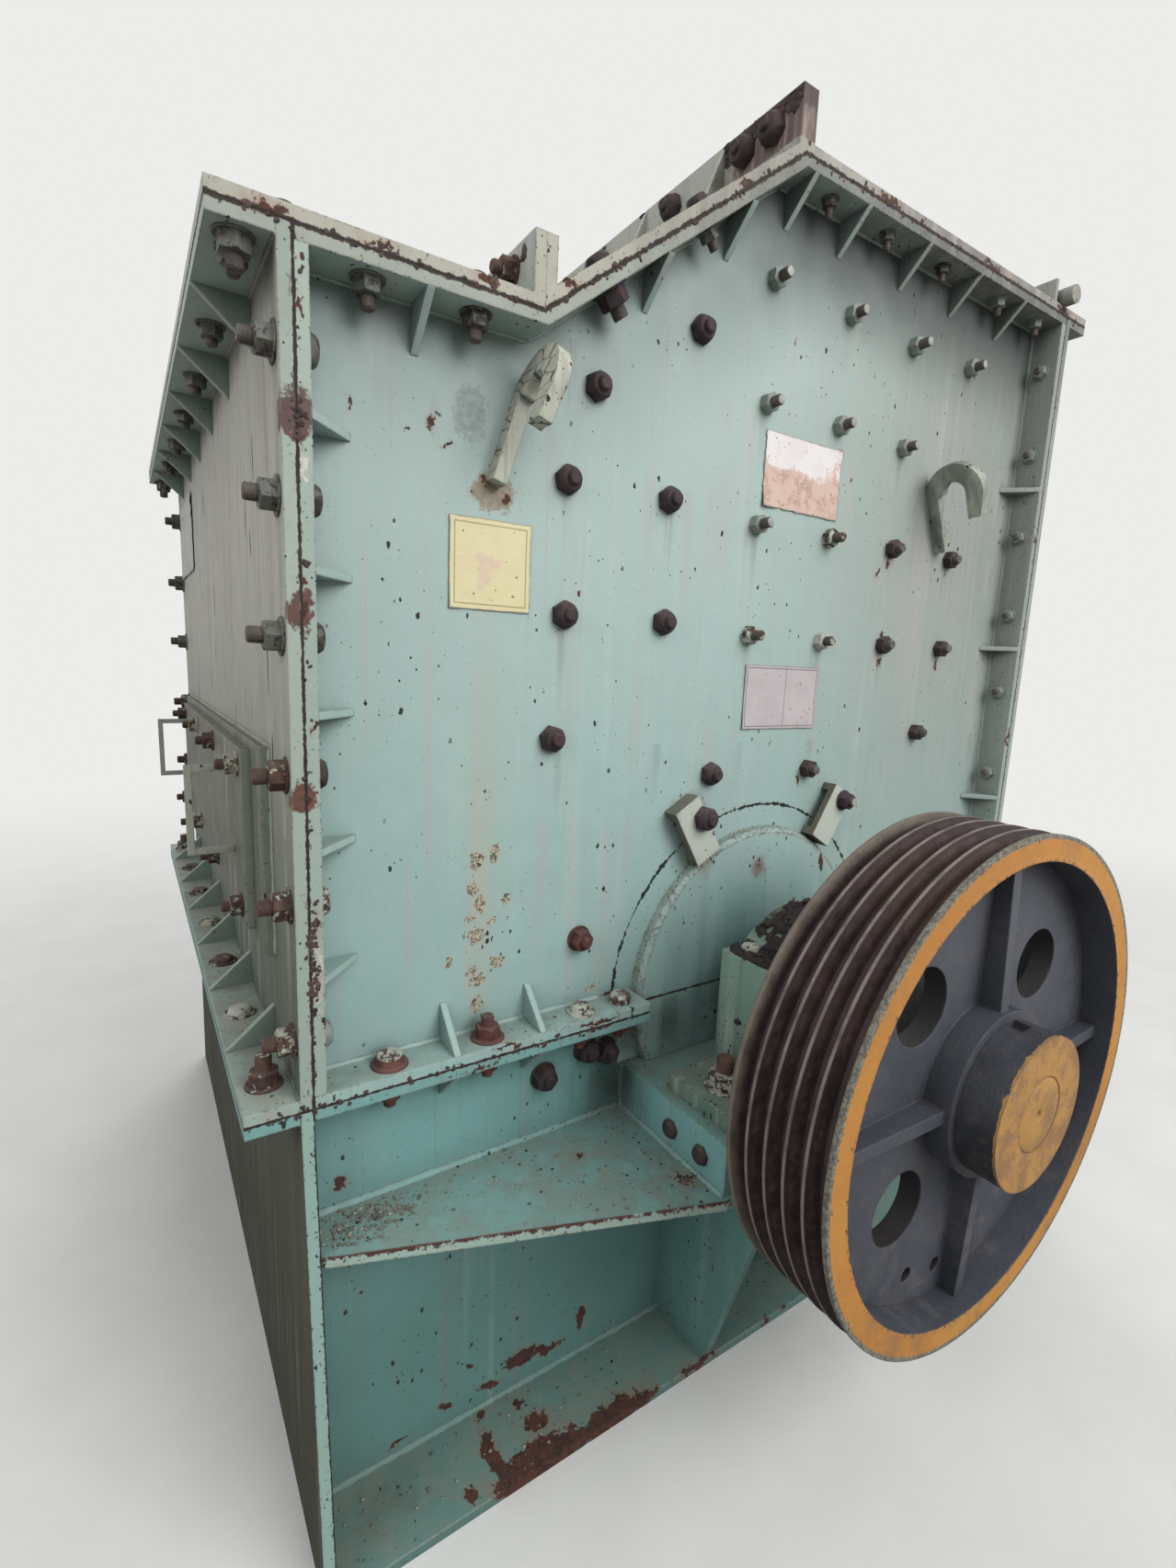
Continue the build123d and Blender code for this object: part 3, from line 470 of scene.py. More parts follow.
        colour.coat(split, rgb(62, 58, 50))
        holes = most(holes, split)
    if ringed:
        around = w.radius().away(COVER_RING) + unsteady * (RING_WIDE * 7.0)
        wide = mottled.band(0.35, 0.7, RING_WIDE * 0.5, RING_WIDE * 1.8)
        line = (wide - around).band(0.0, 0.0008) * (w.z > SPLIT)
        holes = most(holes, line)
        colour.coat(line, SPECK)
    if rusty_above:
        bare = ((w.z + ragged * 0.05).band(rusty_above, rusty_above + 0.05)
                * w.noise((40.0, 40.0, 5.0), 3.0, 0.65).band(0.3, 0.62, 1.0, 0.45))
        colour.coat(bare, w.mix(mottled.band(0.4, 0.62), rgb(40, 34, 33), rgb(76, 62, 58)))
        holes = most(holes, bare * 0.8)
    if rusty_peak:
        near = ((w.y + ragged * 0.1).band(-0.62, -0.67)
                * w.z.band(HIGH_ROOF + 0.021, HIGH_ROOF + 0.024)
                * w.x.away(PEAK_X).band(0.06, 0.05))
        fibres = w.noise((70.0, 70.0, 6.0), 4.0, 0.68)
        crust = w.mix(fibres.band(0.44, 0.62), rgb(104, 88, 82), rgb(150, 134, 126))
        crust.coat((w.z + ragged * 0.06).band(ROOF_TOP - 0.015, ROOF_TOP + 0.005),
                   rgb(88, 74, 71))
        colour.coat(near, crust)
        holes = most(holes, near * 0.8)
    roughness = holes * 0.2 + mottled.band(0.3, 0.7, 0.54, 0.68) + dull
    w.finish(colour, roughness, w.noise(120.0, 2.0, 0.6), 0.0005)


def rusty_steel(name, dark, light, shine=0.0, scale=1.0, orange=0.55):
    """Bare iron with brown rust."""
    w = Wiring(name, 0.0015)
    fine = w.noise(230.0 * scale, 2.0, 0.65)
    colour = w.mix(w.noise(26.0 * scale, 3.0, 0.65).band(0.38, 0.64), dark, light)
    colour.coat(fine.band(0.54, 0.74) * orange, RUST_ORANGE)
    colour.coat(w.edges().band(0.06, 0.3) * (0.25 + 0.4 * shine), BARE_STEEL)
    roughness = fine.band(0.3, 0.7, 0.62 - 0.25 * shine, 0.88 - 0.25 * shine)
    w.finish(colour, roughness, fine, 0.0009, 0.35 * shine)


def fastener_paint(name, bare, bare_light, paint_colour=None, cover=0.0):
    """Nuts and bolt heads with old paint that has flaked from plum brown rust."""
    w = Wiring(name, 0.0015)
    fine = w.noise(260.0, 2.0, 0.65)
    colour = w.mix(w.noise(45.0, 3.0).band(0.38, 0.62), bare, bare_light)
    colour.coat(fine.band(0.55, 0.75) * 0.25, RUST)
    colour.coat(w.normal_z.band(0.3, 1.0) * 0.3, rgb(112, 98, 94))
    roughness = 0.74
    if cover:
        left = w.noise(80.0, 4.0, 0.7) + w.noise(7.0, 1.0).band(0.35, 0.65, -0.08, 0.08)
        kept = left.band(0.62 - 0.34 * cover, 0.65 - 0.34 * cover)
        shown = w.mix(w.edges().band(0.08, 0.3), paint_colour, CREAM)
        shown.coat(w.noise(35.0, 3.0).band(0.4, 0.7) * 0.35, RUN_BROWN)
        colour.coat(kept, shown)
        roughness = 0.8 - kept * 0.24
    w.finish(colour, roughness, fine, 0.0007)


def pulley_finish(name):
    """Slate paint inside, orange yellow on the rim's face, and worn rusty grooves, with painted shade in the
    pulley's hollows, holes and grooves and a painted highlight on the ridges.
    """
    w = Wiring(name)
    radius = w.radius()
    outer, inner = (RIM[1].z - RIM[0].z) / 2, RIM_INSIDE
    front, back = RIM[0].y, RIM[1].y
    clouds = w.noise(3.0, 4.0, 0.65)
    blotches = w.noise(13.0, 4.0, 0.7)
    rugged = w.noise(60.0, 4.0, 0.72)
    ragged = (rugged - 0.5) * 0.006

    slate = w.mix(clouds.band(0.35, 0.65), SLATE, rgb(78, 81, 90))
    # Painted shade in the pulley's hollows, from the ambient occlusion
    slate.coat(w.corners(0.12).band(0.1, 0.8) * 0.7, SLATE_DARK)
    low = w.z.band(AXIS.z + 0.05, AXIS.z - 0.45, 0.25, 0.6)
    slate.coat(blotches.band(0.46, 0.7) * low, rgb(100, 98, 98))
    slate.coat(clouds.band(0.56, 0.66) * blotches.band(0.45, 0.6) * 0.5, rgb(72, 60, 56))
    slate.coat((w.edges() + rugged * 0.4).band(0.32, 0.44) * 0.4, rgb(120, 120, 122))
    # Painted shade on the walls of the web's holes
    hole_wall = (abs(w.normal_y).band(0.5, 0.3) * w.y.band(front + 0.06, front + 0.064)
                 * radius.band(inner - 0.02, inner - 0.04))
    slate.coat(hole_wall * 0.85, rgb(50, 43, 42))

    orange = w.mix(clouds.band(0.35, 0.65), ORANGE_YELLOW, rgb(184, 124, 58))
    orange.coat(blotches.band(0.5, 0.68) * 0.45, rgb(164, 116, 70))
    dirty = w.z.band(AXIS.z - 0.1, AXIS.z - 0.45) * blotches.band(0.4, 0.6) * 0.55
    orange.coat(dirty, rgb(136, 106, 74))
    scratch = w.noise((55.0, 55.0, 9.0), 4.0, 0.65).band(0.66, 0.7)
    rim_edge = most(radius.band(outer - 0.014, outer - 0.004),
                    radius.band(inner + 0.01, inner + 0.001))
    chipped = (rugged + rim_edge * 0.12).band(0.665, 0.685)
    orange.coat(most(chipped, scratch) * 0.85, rgb(92, 66, 52))
    gritty = w.mix(w.noise(150.0, 2.0, 0.7).band(0.4, 0.6), rgb(94, 90, 80), rgb(134, 130, 118))
    orange.coat((radius + ragged).band(outer - 0.009, outer - 0.006), gritty)

    bare = w.mix(w.noise(30.0, 4.0, 0.7).band(0.4, 0.68), GROOVE_BROWN, GROOVE_WORN)
    turns = w.noise((5.0, 420.0, 5.0), 2.0, 0.6)
    bare.coat(turns.band(0.5, 0.7) * 0.5, rgb(76, 54, 50))
    bare.coat(clouds.band(0.52, 0.66) * 0.4, rgb(92, 70, 58))
    # Painted shade on the grooves' flanks below the ridges
    bare.coat(radius.band(outer - 0.012, outer - 0.004) * 0.75, rgb(38, 28, 27))
    # A paler band on the ridge tops: worn metal with a painted highlight
    ridge = radius.band(outer - 0.0014, outer - 0.0004)
    bare.coat(ridge * blotches.band(0.3, 0.6, 0.35, 0.95), rgb(140, 124, 117))
    rear = w.y.band(back - 0.014, back - 0.009) * blotches.band(0.34, 0.58, 0.4, 0.8)
    bare.coat(rear, rgb(112, 104, 90))
    # Painted shade deeper in the grooves
    bare.coat(radius.band(outer - 0.012, outer - 0.022) * 0.5, rgb(48, 35, 34))
    land = ((w.y + ragged).band(front + 0.0095, front + 0.0065)
            * radius.band(outer - 0.005, outer - 0.002))
    bare.coat(land, gritty)

    on_belt = radius.band(inner + 0.01, inner + 0.012)
    on_face = (w.y.band(front + 0.0012, front + 0.0008)
               * (radius + ragged).band(inner - 0.0005, inner + 0.0005))
    slate.coat(on_belt, bare)
    slate.coat(on_face, orange)
    roughness = rugged.band(0.3, 0.7, 0.45, 0.62) + on_belt * 0.14
    w.finish(slate, roughness, w.noise(140.0, 2.0), 0.0008)


def collar_finish(name):
    """The hub's collar: slate sides and a chipped orange yellow face."""
    w = Wiring(name)
    rugged = w.noise(60.0, 5.0, 0.75)
    orange = w.mix(w.noise(18.0, 5.0, 0.7).band(0.4, 0.62), rgb(182, 136, 74), rgb(150, 112, 74))
    orange.coat(rugged.band(0.6, 0.62) * 0.9, rgb(136, 114, 96))
    colour = w.mix(w.noise(5.0, 3.0).band(0.35, 0.65), SLATE_DARK, SLATE)
    colour.coat(w.noise(40.0, 4.0, 0.7).band(0.5, 0.65) * 0.4, rgb(94, 78, 66))
    depth = w.y + (rugged - 0.5) * 0.016
    colour.coat(depth.band(COLLAR_FRONT + 0.0045, COLLAR_FRONT + 0.0035), orange)
    rim = (w.edges() + w.noise(90.0, 4.0) * 0.5).band(0.38, 0.44)
    colour.coat(rim * 0.8, rgb(84, 60, 48))
    w.finish(colour, rugged.band(0.3, 0.7, 0.44, 0.62), w.noise(160.0, 2.0), 0.0008)


def sign_finish(name, main, second, sheet, stain=None, inset=None, divided=False, split=None):
    """A bare printed plate that has faded, peeled and stained, with its border line."""
    w = Wiring(name, None)
    x0, x1, z0, z1 = sheet
    cloudy = w.noise(16.0, 5.0, 0.65).band(0.42, 0.6)
    rugged = w.noise(30.0, 6.0, 0.72)
    colour = w.mix(cloudy * 0.6, main, second)
    if split:
        lower = (w.z.band(z0 + 0.75 * (z1 - z0), z0 + 0.3 * (z1 - z0), 0.0, 0.35)
                 + w.noise(14.0, 6.0, 0.68))
        colour.coat(lower.band(0.58, 0.66), split)
        colour.coat(lower.band(0.6, 0.8) * rugged.band(0.44, 0.6) * 0.7, rgb(176, 134, 116))
        colour.coat(rugged.band(0.6, 0.66) * 0.6, rgb(226, 220, 216))
    if stain:
        middle = ((x0 + x1) / 2 - 0.01, WALL, (z0 + z1) / 2)
        area = w.reach([(middle, (0.045, 0.05, 0.075), 1.0)])
        colour.coat((area * 0.4 + rugged).band(0.68, 0.86) * 0.9, stain)
    inward = (w.x - x0).least(x1 - w.x).least((w.z - z0).least(z1 - w.z))
    if inset:
        colour.coat(inward.away(inset).band(0.0016, 0.0008) * 0.75,
                    rgb(142, 132, 84) if stain else SIGN_LINE)
    if divided:
        middle = w.x.away(x0 + 0.54 * (x1 - x0)).band(0.0014, 0.0007)
        colour.coat(middle * inward.band(inset - 0.001, inset) * 0.7, SIGN_LINE)
    colour.coat(w.noise(75.0, 5.0, 0.75).band(0.68, 0.7) * 0.6, rgb(140, 118, 104))
    colour.coat(w.flecks(150.0, 0.07, wobble=0.3) * 0.85, rgb(92, 82, 58))
    colour.coat((inward + rugged * 0.006).band(0.0055, 0.004) * 0.8, rgb(132, 132, 118))
    w.finish(colour, cloudy.band(0.0, 1.0, 0.38, 0.55), w.noise(30.0, 3.0), 0.0012)


# Marks on the paint, in millimetres: the middle's x and z, and half the width and height
def stain(x, z, wide, tall, strength=1.0, y=WALL, deep=30):
    """Rust that has eaten through the paint."""
    return (x / 1000, y, z / 1000), (wide / 1000, deep / 1000, tall / 1000), strength


def lying(x, y, wide, deep, strength=2.0, z=PLATE):
    """Rust on a level plate."""
    return (x / 1000, y / 1000, z), (wide / 1000, deep / 1000, 0.05), strength


def tinted(x, z, wide, tall, tint, strength=1.0, y=WALL, deep=200):
    """A wash or a patch of another colour."""
    place, size, _ = stain(x, z, wide, tall, strength, y, deep)
    return place, size, rgb(*tint), strength


BLISTERS = [stain(*spot) for spot in (
    (-675, 1212, 22, 16), (-681, 1188, 18, 18), (-642, 1210, 18, 30), (-680, 1151, 24, 20),
    (-664, 1122, 14, 24), (-611, 1117, 17, 14), (-683, 1099, 13, 14), (-641, 1082, 15, 16),
    (-673, 1059, 26, 22), (-632, 1005, 20, 18), (-723, 1020, 15, 16), (-684, 994, 16, 16),
    (-670, 971, 16, 18), (-669, 926, 22, 24), (-415, 902, 26, 12), (-430, 1000, 30, 10))]
BOLT_BLEEDS = [stain(*spot) for spot in (
    (429, 1598, 11, 42), (681, 1600, 9, 38), (429, 1668, 10, 20), (428, 1835, 16, 26),
    (678, 1836, 7, 28))]
WALL_CHIPS = [stain(*spot, 0.9) for spot in (
    (-761, 1928, 18, 46), (-735, 1895, 22, 14), (-888, 1921, 9, 18), (-805, 1904, 8, 12),
    (33, 2246, 7, 20), (-422, 1607, 6, 10), (388, 1817, 26, 30), (660, 1852, 8, 26),
    (165, 1305, 10, 24), (56, 1395, 5, 30), (-665, 1850, 26, 18), (-625, 1826, 30, 14),
    (-692, 1828, 12, 14), (-214, 1245, 18, 50))]
WALL_STAINS = BOLT_BLEEDS + WALL_CHIPS + [stain(-360, 873, 70, 10, 1.2)]
CORNER_STAINS = [stain(*spot, 1.15, FLANGE_EDGE) for spot in (
    (-974, 1616, 24, 34), (-966, 1650, 10, 16), (-966, 1455, 9, 20), (-974, 1345, 16, 24),
    (-966, 1150, 15, 50), (-964, 1070, 18, 60), (-962, 995, 10, 30), (-968, 2000, 9, 22),
    (966, 1950, 10, 40), (966, 1400, 12, 60))]
TAB_STAINS = [stain(-640, 866, 100, 16, 0.9, FLANGE_EDGE),
              stain(-440, 864, 100, 14, 1.1, FLANGE_EDGE)]
HOUSING_STAINS = [stain(246, 1095, 18, 36, 2.0, WALL - 0.03),
                  stain(28, 1107, 22, 30, 0.8, WALL - 0.03), *TAB_STAINS,
                  stain(-150, 1150, 30, 30, 0.8, WALL - 0.012)]
BASE_STAINS = [stain(*spot) for spot in (
    (-922, 652, 26, 24, 1.6), (-560, 86, 85, 34, 1.7), (-401, 98, 20, 54, 1.8),
    (-495, 72, 110, 22, 1.4), (-629, 62, 55, 16, 1.4), (-729, 68, 24, 16, 1.5),
    (-676, 129, 18, 14, 1.5), (-822, 44, 40, 10, 1.3))] + [lying(*spot) for spot in (
        (-580, -992, 200, 110), (-410, -998, 200, 96), (-664, -915, 30, 90),
        (-563, -895, 60, 38, 1.4), (-578, -845, 30, 20, 1.3), (-727, -949, 22, 22, 1.6),
        (-652, -828, 20, 18, 1.5), (-200, -985, 160, 30, 1.5), (60, -985, 200, 24, 1.5),
        (400, -985, 260, 22, 1.4))]
SHELF_STAINS = [stain(-480, 600, 50, 30, 1.1, -0.905), stain(-905, 597, 100, 16, 0.9, -0.905),
                lying(-350, -1060, 100, 60, 0.8, SHELF_TOP)]
SPLIT_STAINS = [stain(-700, 846, 120, 14, 0.9, FLANGE_EDGE),
                stain(-440, 850, 90, 14, 1.0, FLANGE_EDGE)]
ROOF_STAINS = [stain(x, z, wide, 25, 1.0, FLANGE_EDGE, 60) for x, z, wide in (
    (-1000, 2110, 50), (-860, 2108, 50), (-700, 2112, 40), (-560, 2150, 50),
    (-200, 2420, 50), (200, 2532, 80), (600, 2532, 100), (950, 2532, 80))]
WALL_PATCHES = [tinted(-694, 1950, 64, 88, (152, 164, 158), 0.75, deep=30),
                tinted(-652, 1832, 88, 56, (150, 136, 114), 0.9, deep=30),
                tinted(-170, 1262, 90, 70, (142, 128, 112), 0.35, deep=30)]
WALL_WASHES = [tinted(-655, 1220, 75, 620, (178, 176, 156), 0.55, deep=30),
               tinted(600, 1750, 280, 700, (172, 164, 160), 0.3, deep=30)]
# The two dark washes beside the drum and pedestal are black dirt and painted shade
HOUSING_WASHES = [tinted(40, 900, 460, 300, (84, 134, 128), 0.75),
                  tinted(180, 870, 240, 120, (44, 62, 56), 0.8),
                  tinted(-270, 790, 160, 120, (42, 52, 46)),
                  tinted(28, 1109, 34, 40, (116, 84, 76)),
                  tinted(-150, 1150, 50, 70, (120, 98, 78), 0.6)]
# The first wash, beside the pedestal, is black dirt and painted shade
BASE_WASHES = [tinted(-330, 680, 170, 150, (42, 60, 52), 0.95, deep=120),
               tinted(-870, 20, 140, 30, (92, 100, 88), 0.8, -0.875, 90)]
ROOF_WASHES = [tinted(600, 2450, 1100, 500, (108, 100, 100), 0.85, FLANGE_EDGE, 160),
               tinted(-240, 2360, 400, 350, (116, 112, 103), 0.85, FLANGE_EDGE, 160)]
# Painted shade: a dark grey green over the right hook
RIGHT_HOOK_SHADE = [tinted(566, 1930, 300, 400, (84, 94, 88), 1.0, WALL - 0.06)]
# Dark brown on the left clamp: rust and painted shade
CLAMP_WASHES = [tinted(-262, 1200, 45, 120, (70, 52, 46))]
SPLIT_WASHES = [((-1.04, 0.0, SPLIT_TOP), (0.12, 3.0, 0.1), rgb(156, 158, 142), 1.0)]
CORNER_PATCHES = [tinted(*spot, FLANGE_EDGE, 60) for spot in (
    (-978, 1870, 62, 70, (84, 48, 47), 0.95), (-970, 1806, 20, 34, (206, 202, 194), 0.8),
    (-978, 1612, 50, 58, (84, 42, 36), 0.95), (-978, 1350, 42, 50, (92, 48, 37), 0.95),
    (-964, 1075, 22, 110, (204, 202, 190), 0.8))]

# The finish of each slot of the record
paint("housing_paint", SEA_GREEN, SEA_GREEN_LOW, FADED, specks=0.9, streaks=0.34, dust=0.4,
      stains=HOUSING_STAINS, soot_and_shade=0.5, washes=HOUSING_WASHES, ringed=True, drum=True)
# The base's teal turns darker below the shelf: painted shade
paint("base_paint", TEAL, TEAL_SHADED, chips=0.8, dust=0.55, grime_and_shade=0.7, streaks=0.24,
      low_from=0.62, low_to=0.25, stains=BASE_STAINS, washes=BASE_WASHES)
paint("roof_paint", ROOF_GREEN, ROOF_GREEN, chips=1.0, dust=0.5, grime_and_shade=0.7, streaks=0.35,
      specks=1.4, worn_edges=0.9, stains=ROOF_STAINS, rusty_peak=True, front=rgb(170, 166, 153),
      seam_wide=0.005, roof_only=True, washes=ROOF_WASHES)
paint("bearing_paint", BEARING_GREEN, rgb(96, 124, 108), chips=1.0, dust=0.6, grime_and_shade=0.9,
      specks=3.0, low_from=1.0, low_to=0.7, streaks=0.5, front=rgb(136, 164, 148),
      rusty_above=1.02, joints=False)
rusty_steel("wear_steel", RUST_DARK, RUST, 0.3)
rusty_steel("rotor_steel", rgb(84, 76, 72), rgb(112, 94, 84), 0.7)
pulley_finish("pulley_paint")
collar_finish("hub_paint")

# Finer finishes of single nodes
paint("front_wall_paint", SEA_GREEN, SEA_GREEN_LOW, FADED, specks=0.5, streaks=0.36, dust=0.4,
      stains=WALL_STAINS, patches=WALL_PATCHES, blisters=BLISTERS, washes=WALL_WASHES,
      soot_and_shade=0.95, drips=0.42, ringed=True)
paint("corner_paint", rgb(160, 174, 163), rgb(150, 171, 160), FADED, specks=1.2, chips=0.8,
      dust=0.4, stains=CORNER_STAINS, patches=CORNER_PATCHES)
paint("hook_paint", rgb(186, 188, 172), rgb(168, 174, 160), chips=1.0, specks=1.6, streaks=0.4,
      worn_edges=1.0, joints=False, cracks=True, washes=RIGHT_HOOK_SHADE)
# Below the shelf's top its teal turns darker: painted shade
paint("shelf_paint", TEAL, TEAL_SHADED, chips=1.0, dust=0.62, grime_and_shade=0.7, streaks=0.26, specks=1.4,
      low_from=0.62, low_to=0.25, stains=SHELF_STAINS, ledge=SHELF_TOP, joints=False)
paint("base_split_paint", TEAL, TEAL, chips=1.0, dust=0.5, specks=1.2, stains=SPLIT_STAINS)
# The left end turns dark towards the bottom: painted shade with a grimy film; faces turned to the front keep a
# pale green
paint("end_paint", rgb(171, 170, 158), rgb(82, 92, 78), dust=0.4, grime_and_shade=0.7, streaks=0.55,
      specks=0.7, soot_and_shade=0.55, dashes=2.4, low_from=1.75, low_to=0.95, front=rgb(160, 174, 162),
      patches=CORNER_PATCHES)
paint("end_gusset_paint", rgb(150, 158, 144), rgb(146, 164, 150), dust=0.4, streaks=0.4,
      joints=False, front=rgb(140, 160, 148))
paint("hatch_paint", rgb(106, 101, 84), rgb(80, 86, 74), chips=0.8, dust=0.4, grime_and_shade=0.7,
      streaks=0.5, specks=0.8, dashes=2.0, joints=False, front=rgb(150, 160, 146))
paint("handle_paint", rgb(168, 172, 158), rgb(160, 166, 152), chips=0.8, grime_and_shade=0.5, streaks=0.4,
      specks=1.2, joints=False)
# The clamps' sides are dark olive brown, rust and painted shade; faces turned to the front keep the cream paint
paint("clamp_paint", rgb(102, 94, 78), rgb(102, 94, 78), chips=1.0, specks=2.2, streaks=0.4,
      grime_and_shade=0.7, worn_edges=0.9, joints=False, front=rgb(194, 202, 188), washes=CLAMP_WASHES)
paint("top_flange_paint", SEA_GREEN, SEA_GREEN, FADED, specks=1.4, chips=0.9, dust=0.4, soot_and_shade=0.5,
      front=rgb(164, 168, 154), seam_wide=0.005, washes=ROOF_WASHES)
paint("split_flange_paint", SEA_GREEN, SEA_GREEN_LOW, specks=1.4, chips=0.9, dust=0.45,
      stains=TAB_STAINS, washes=SPLIT_WASHES)
# The base's left end is dark olive, mud and painted shade; faces turned to the front keep the teal
paint("base_end_paint_and_shade", rgb(70, 72, 60), rgb(60, 60, 48), chips=0.8, dust=0.5, grime_and_shade=0.8,
      streaks=0.22, low_from=0.8, low_to=0.2, dull=0.22, front=rgb(146, 178, 168))
paint("torn_sheet_face", rgb(186, 184, 176), rgb(172, 168, 158), specks=1.5, streaks=0.6,
      joints=False)
rusty_steel("rust_crust", rgb(44, 34, 32), rgb(78, 60, 56), orange=0.2)
rusty_steel("black_crust", rgb(32, 27, 27), rgb(52, 42, 40), orange=0.05)
rusty_steel("gravel", rgb(92, 90, 78), rgb(126, 122, 108), orange=0)
rusty_steel("gravel_pale", rgb(140, 140, 128), rgb(166, 164, 152), orange=0)

# Fasteners: a number for each finish, in the order of their materials
fastener_paint("bolt_plum", PLUM_DARK, PLUM)
fastener_paint("bolt_green", rgb(70, 68, 62), rgb(92, 88, 80), rgb(126, 138, 130), 0.95)
fastener_paint("bolt_chipped", rgb(50, 35, 31), rgb(82, 56, 45), rgb(166, 166, 150), 0.22)
fastener_paint("bolt_cream", rgb(56, 40, 35), rgb(82, 58, 48), rgb(176, 180, 166), 0.5)
fastener_paint("bolt_grey", rgb(54, 48, 46), rgb(72, 64, 60), rgb(84, 88, 80), 0.5)
fastener_paint("bolt_red", rgb(72, 40, 36), rgb(98, 56, 48))
rusty_steel("stud_steel", rgb(72, 66, 60), rgb(96, 86, 78), 0.3, 1.6, 0.15)
rusty_steel("stud_rust", rgb(66, 46, 39), rgb(94, 67, 54), 0.1, 1.4, 0.2)
rusty_steel("stud_end", rgb(150, 152, 146), rgb(178, 178, 170), 0.4, 1.4, 0.1)
FASTENERS = ("bolt_plum", "bolt_green", "bolt_chipped", "bolt_cream", "bolt_grey", "bolt_red",
             "stud_steel", "stud_rust", "stud_end")
DARK, GREEN, CHIPPED, CREAMY, GREY, RED, STEEL, RUSTED, END = range(len(FASTENERS))

NODE_FINISHES = {
    "upper_front_wall": "front_wall_paint", "corner_flanges": "corner_paint",
    "lifting_hooks": "hook_paint", "front_shelf": "shelf_paint", "rear_shelf": "shelf_paint",
    "base_split_flange": "base_split_paint", "upper_left_end": "end_paint",
    "left_end_gussets": "end_gusset_paint", "hatch_frame": "hatch_paint",
    "inspection_cover": "hatch_paint", "cover_handles": "handle_paint",
    "cover_clamps": "clamp_paint", "top_flange": "top_flange_paint",
    "upper_split_flange": "split_flange_paint", "base_left_end": "base_end_paint_and_shade"}


def dress_frame():
    """Give each node of the frame its own finish, or that of its material slot."""
    for subpart in frame["record"]["subparts"]:
        name = NODE_FINISHES.get(subpart["node"], subpart["material_slot"])
        for slot in frame["nodes"][subpart["node"]].material_slots:
            slot.material = FINISHES[name]


def placed(name, data):
    """A new object in the scene."""
    thing = bpy.data.objects.new(name, data)
    bpy.context.scene.collection.objects.link(thing)
    return thing


# Meshes: many small things are gathered in heaps, and each heap becomes one piece
class Heap:
    """Points and faces of many small things, with the number of a finish for each face."""

    def __init__(self, seed=0):
        self.points, self.faces, self.kinds = [], [], []
        self.random = random.Random(seed)

    def put(self, shape, place, kind=0):
        """Add a shape, which is its points and faces, at a place."""
        points, faces = shape
        first = len(self.points)
        self.points += [place @ Vector(point) for point in points]
        self.faces += [tuple(first + index for index in face) for face in faces]
        self.kinds += [kind] * len(faces)

    def mirrored(self):
        """The same things on the rear side."""
        other = Heap()
        other.points = [Vector((p.x, -p.y, p.z)) for p in self.points]
        other.faces = [face[::-1] for face in self.faces]
        other.kinds = self.kinds
        return other

    def piece(self, name, slot, finishes=(), body="housing"):
        """One object of it all, in the slot's own finish if no other is named."""
        mesh = bpy.data.meshes.new(name)
        mesh.from_pydata(self.points, [], self.faces)
        for finish in finishes or (slot,):
            mesh.materials.append(FINISHES[finish])
        mesh.polygons.foreach_set("material_index", self.kinds)
        mesh.validate()
        mesh.shade_smooth()
        mesh.set_sharp_from_angle(angle=math.radians(35))
        piece = placed(name, mesh)
        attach(piece, body)

    def both_pieces(self, name, slot, finishes=()):
        """A piece for the front side and its mirror image for the rear side."""
        self.piece("front_" + name, slot, finishes)
        self.mirrored().piece("rear_" + name, slot, finishes)


def loft(rows):
    """A closed skin over rows of as many points each, with flat ends."""
    count = len(rows[0])
    points = [point for row in rows for point in row]
    faces = []
    for low in range(0, len(points) - count, count):
        high = low + count
        for step in range(count):
            after = (step + 1) % count
            faces.append((low + step, low + after, high + after, high + step))
    faces.append(tuple(reversed(range(count))))
    faces.append(tuple(range(len(points) - count, len(points))))
    return points, faces


def turned(profile, sides=24, start=0.0):
    """A shape turned about its Z axis from radii and heights."""
    angles = [start + 2 * math.pi * step / sides for step in range(sides)]
    return loft([[(radius * math.cos(a), radius * math.sin(a), height) for a in angles]
                 for radius, height in profile])


def ring(inner, outer, thick, sides=32):
    """A flat ring with small chamfers, closed all round."""
    chamfer = min(thick, outer - inner) * 0.2
    section = [(inner, 0), (outer, 0), (outer, thick - chamfer), (outer - chamfer, thick),
               (inner + chamfer, thick), (inner, thick - chamfer)]
    count = len(section)
    points, faces = [], []
    for step in range(sides):
        angle = 2 * math.pi * step / sides
        points += [(r * math.cos(angle), r * math.sin(angle), z) for r, z in section]
        low, high = step * count, (step + 1) % sides * count
        for side in range(count):
            after = (side + 1) % count
            faces.append((low + side, high + side, high + after, low + after))
    return points, faces


HEX_POINTS = 24
CHAMFER_SLOPE = 0.577
DOME_STEPS = (0.35, 0.65, 0.88)


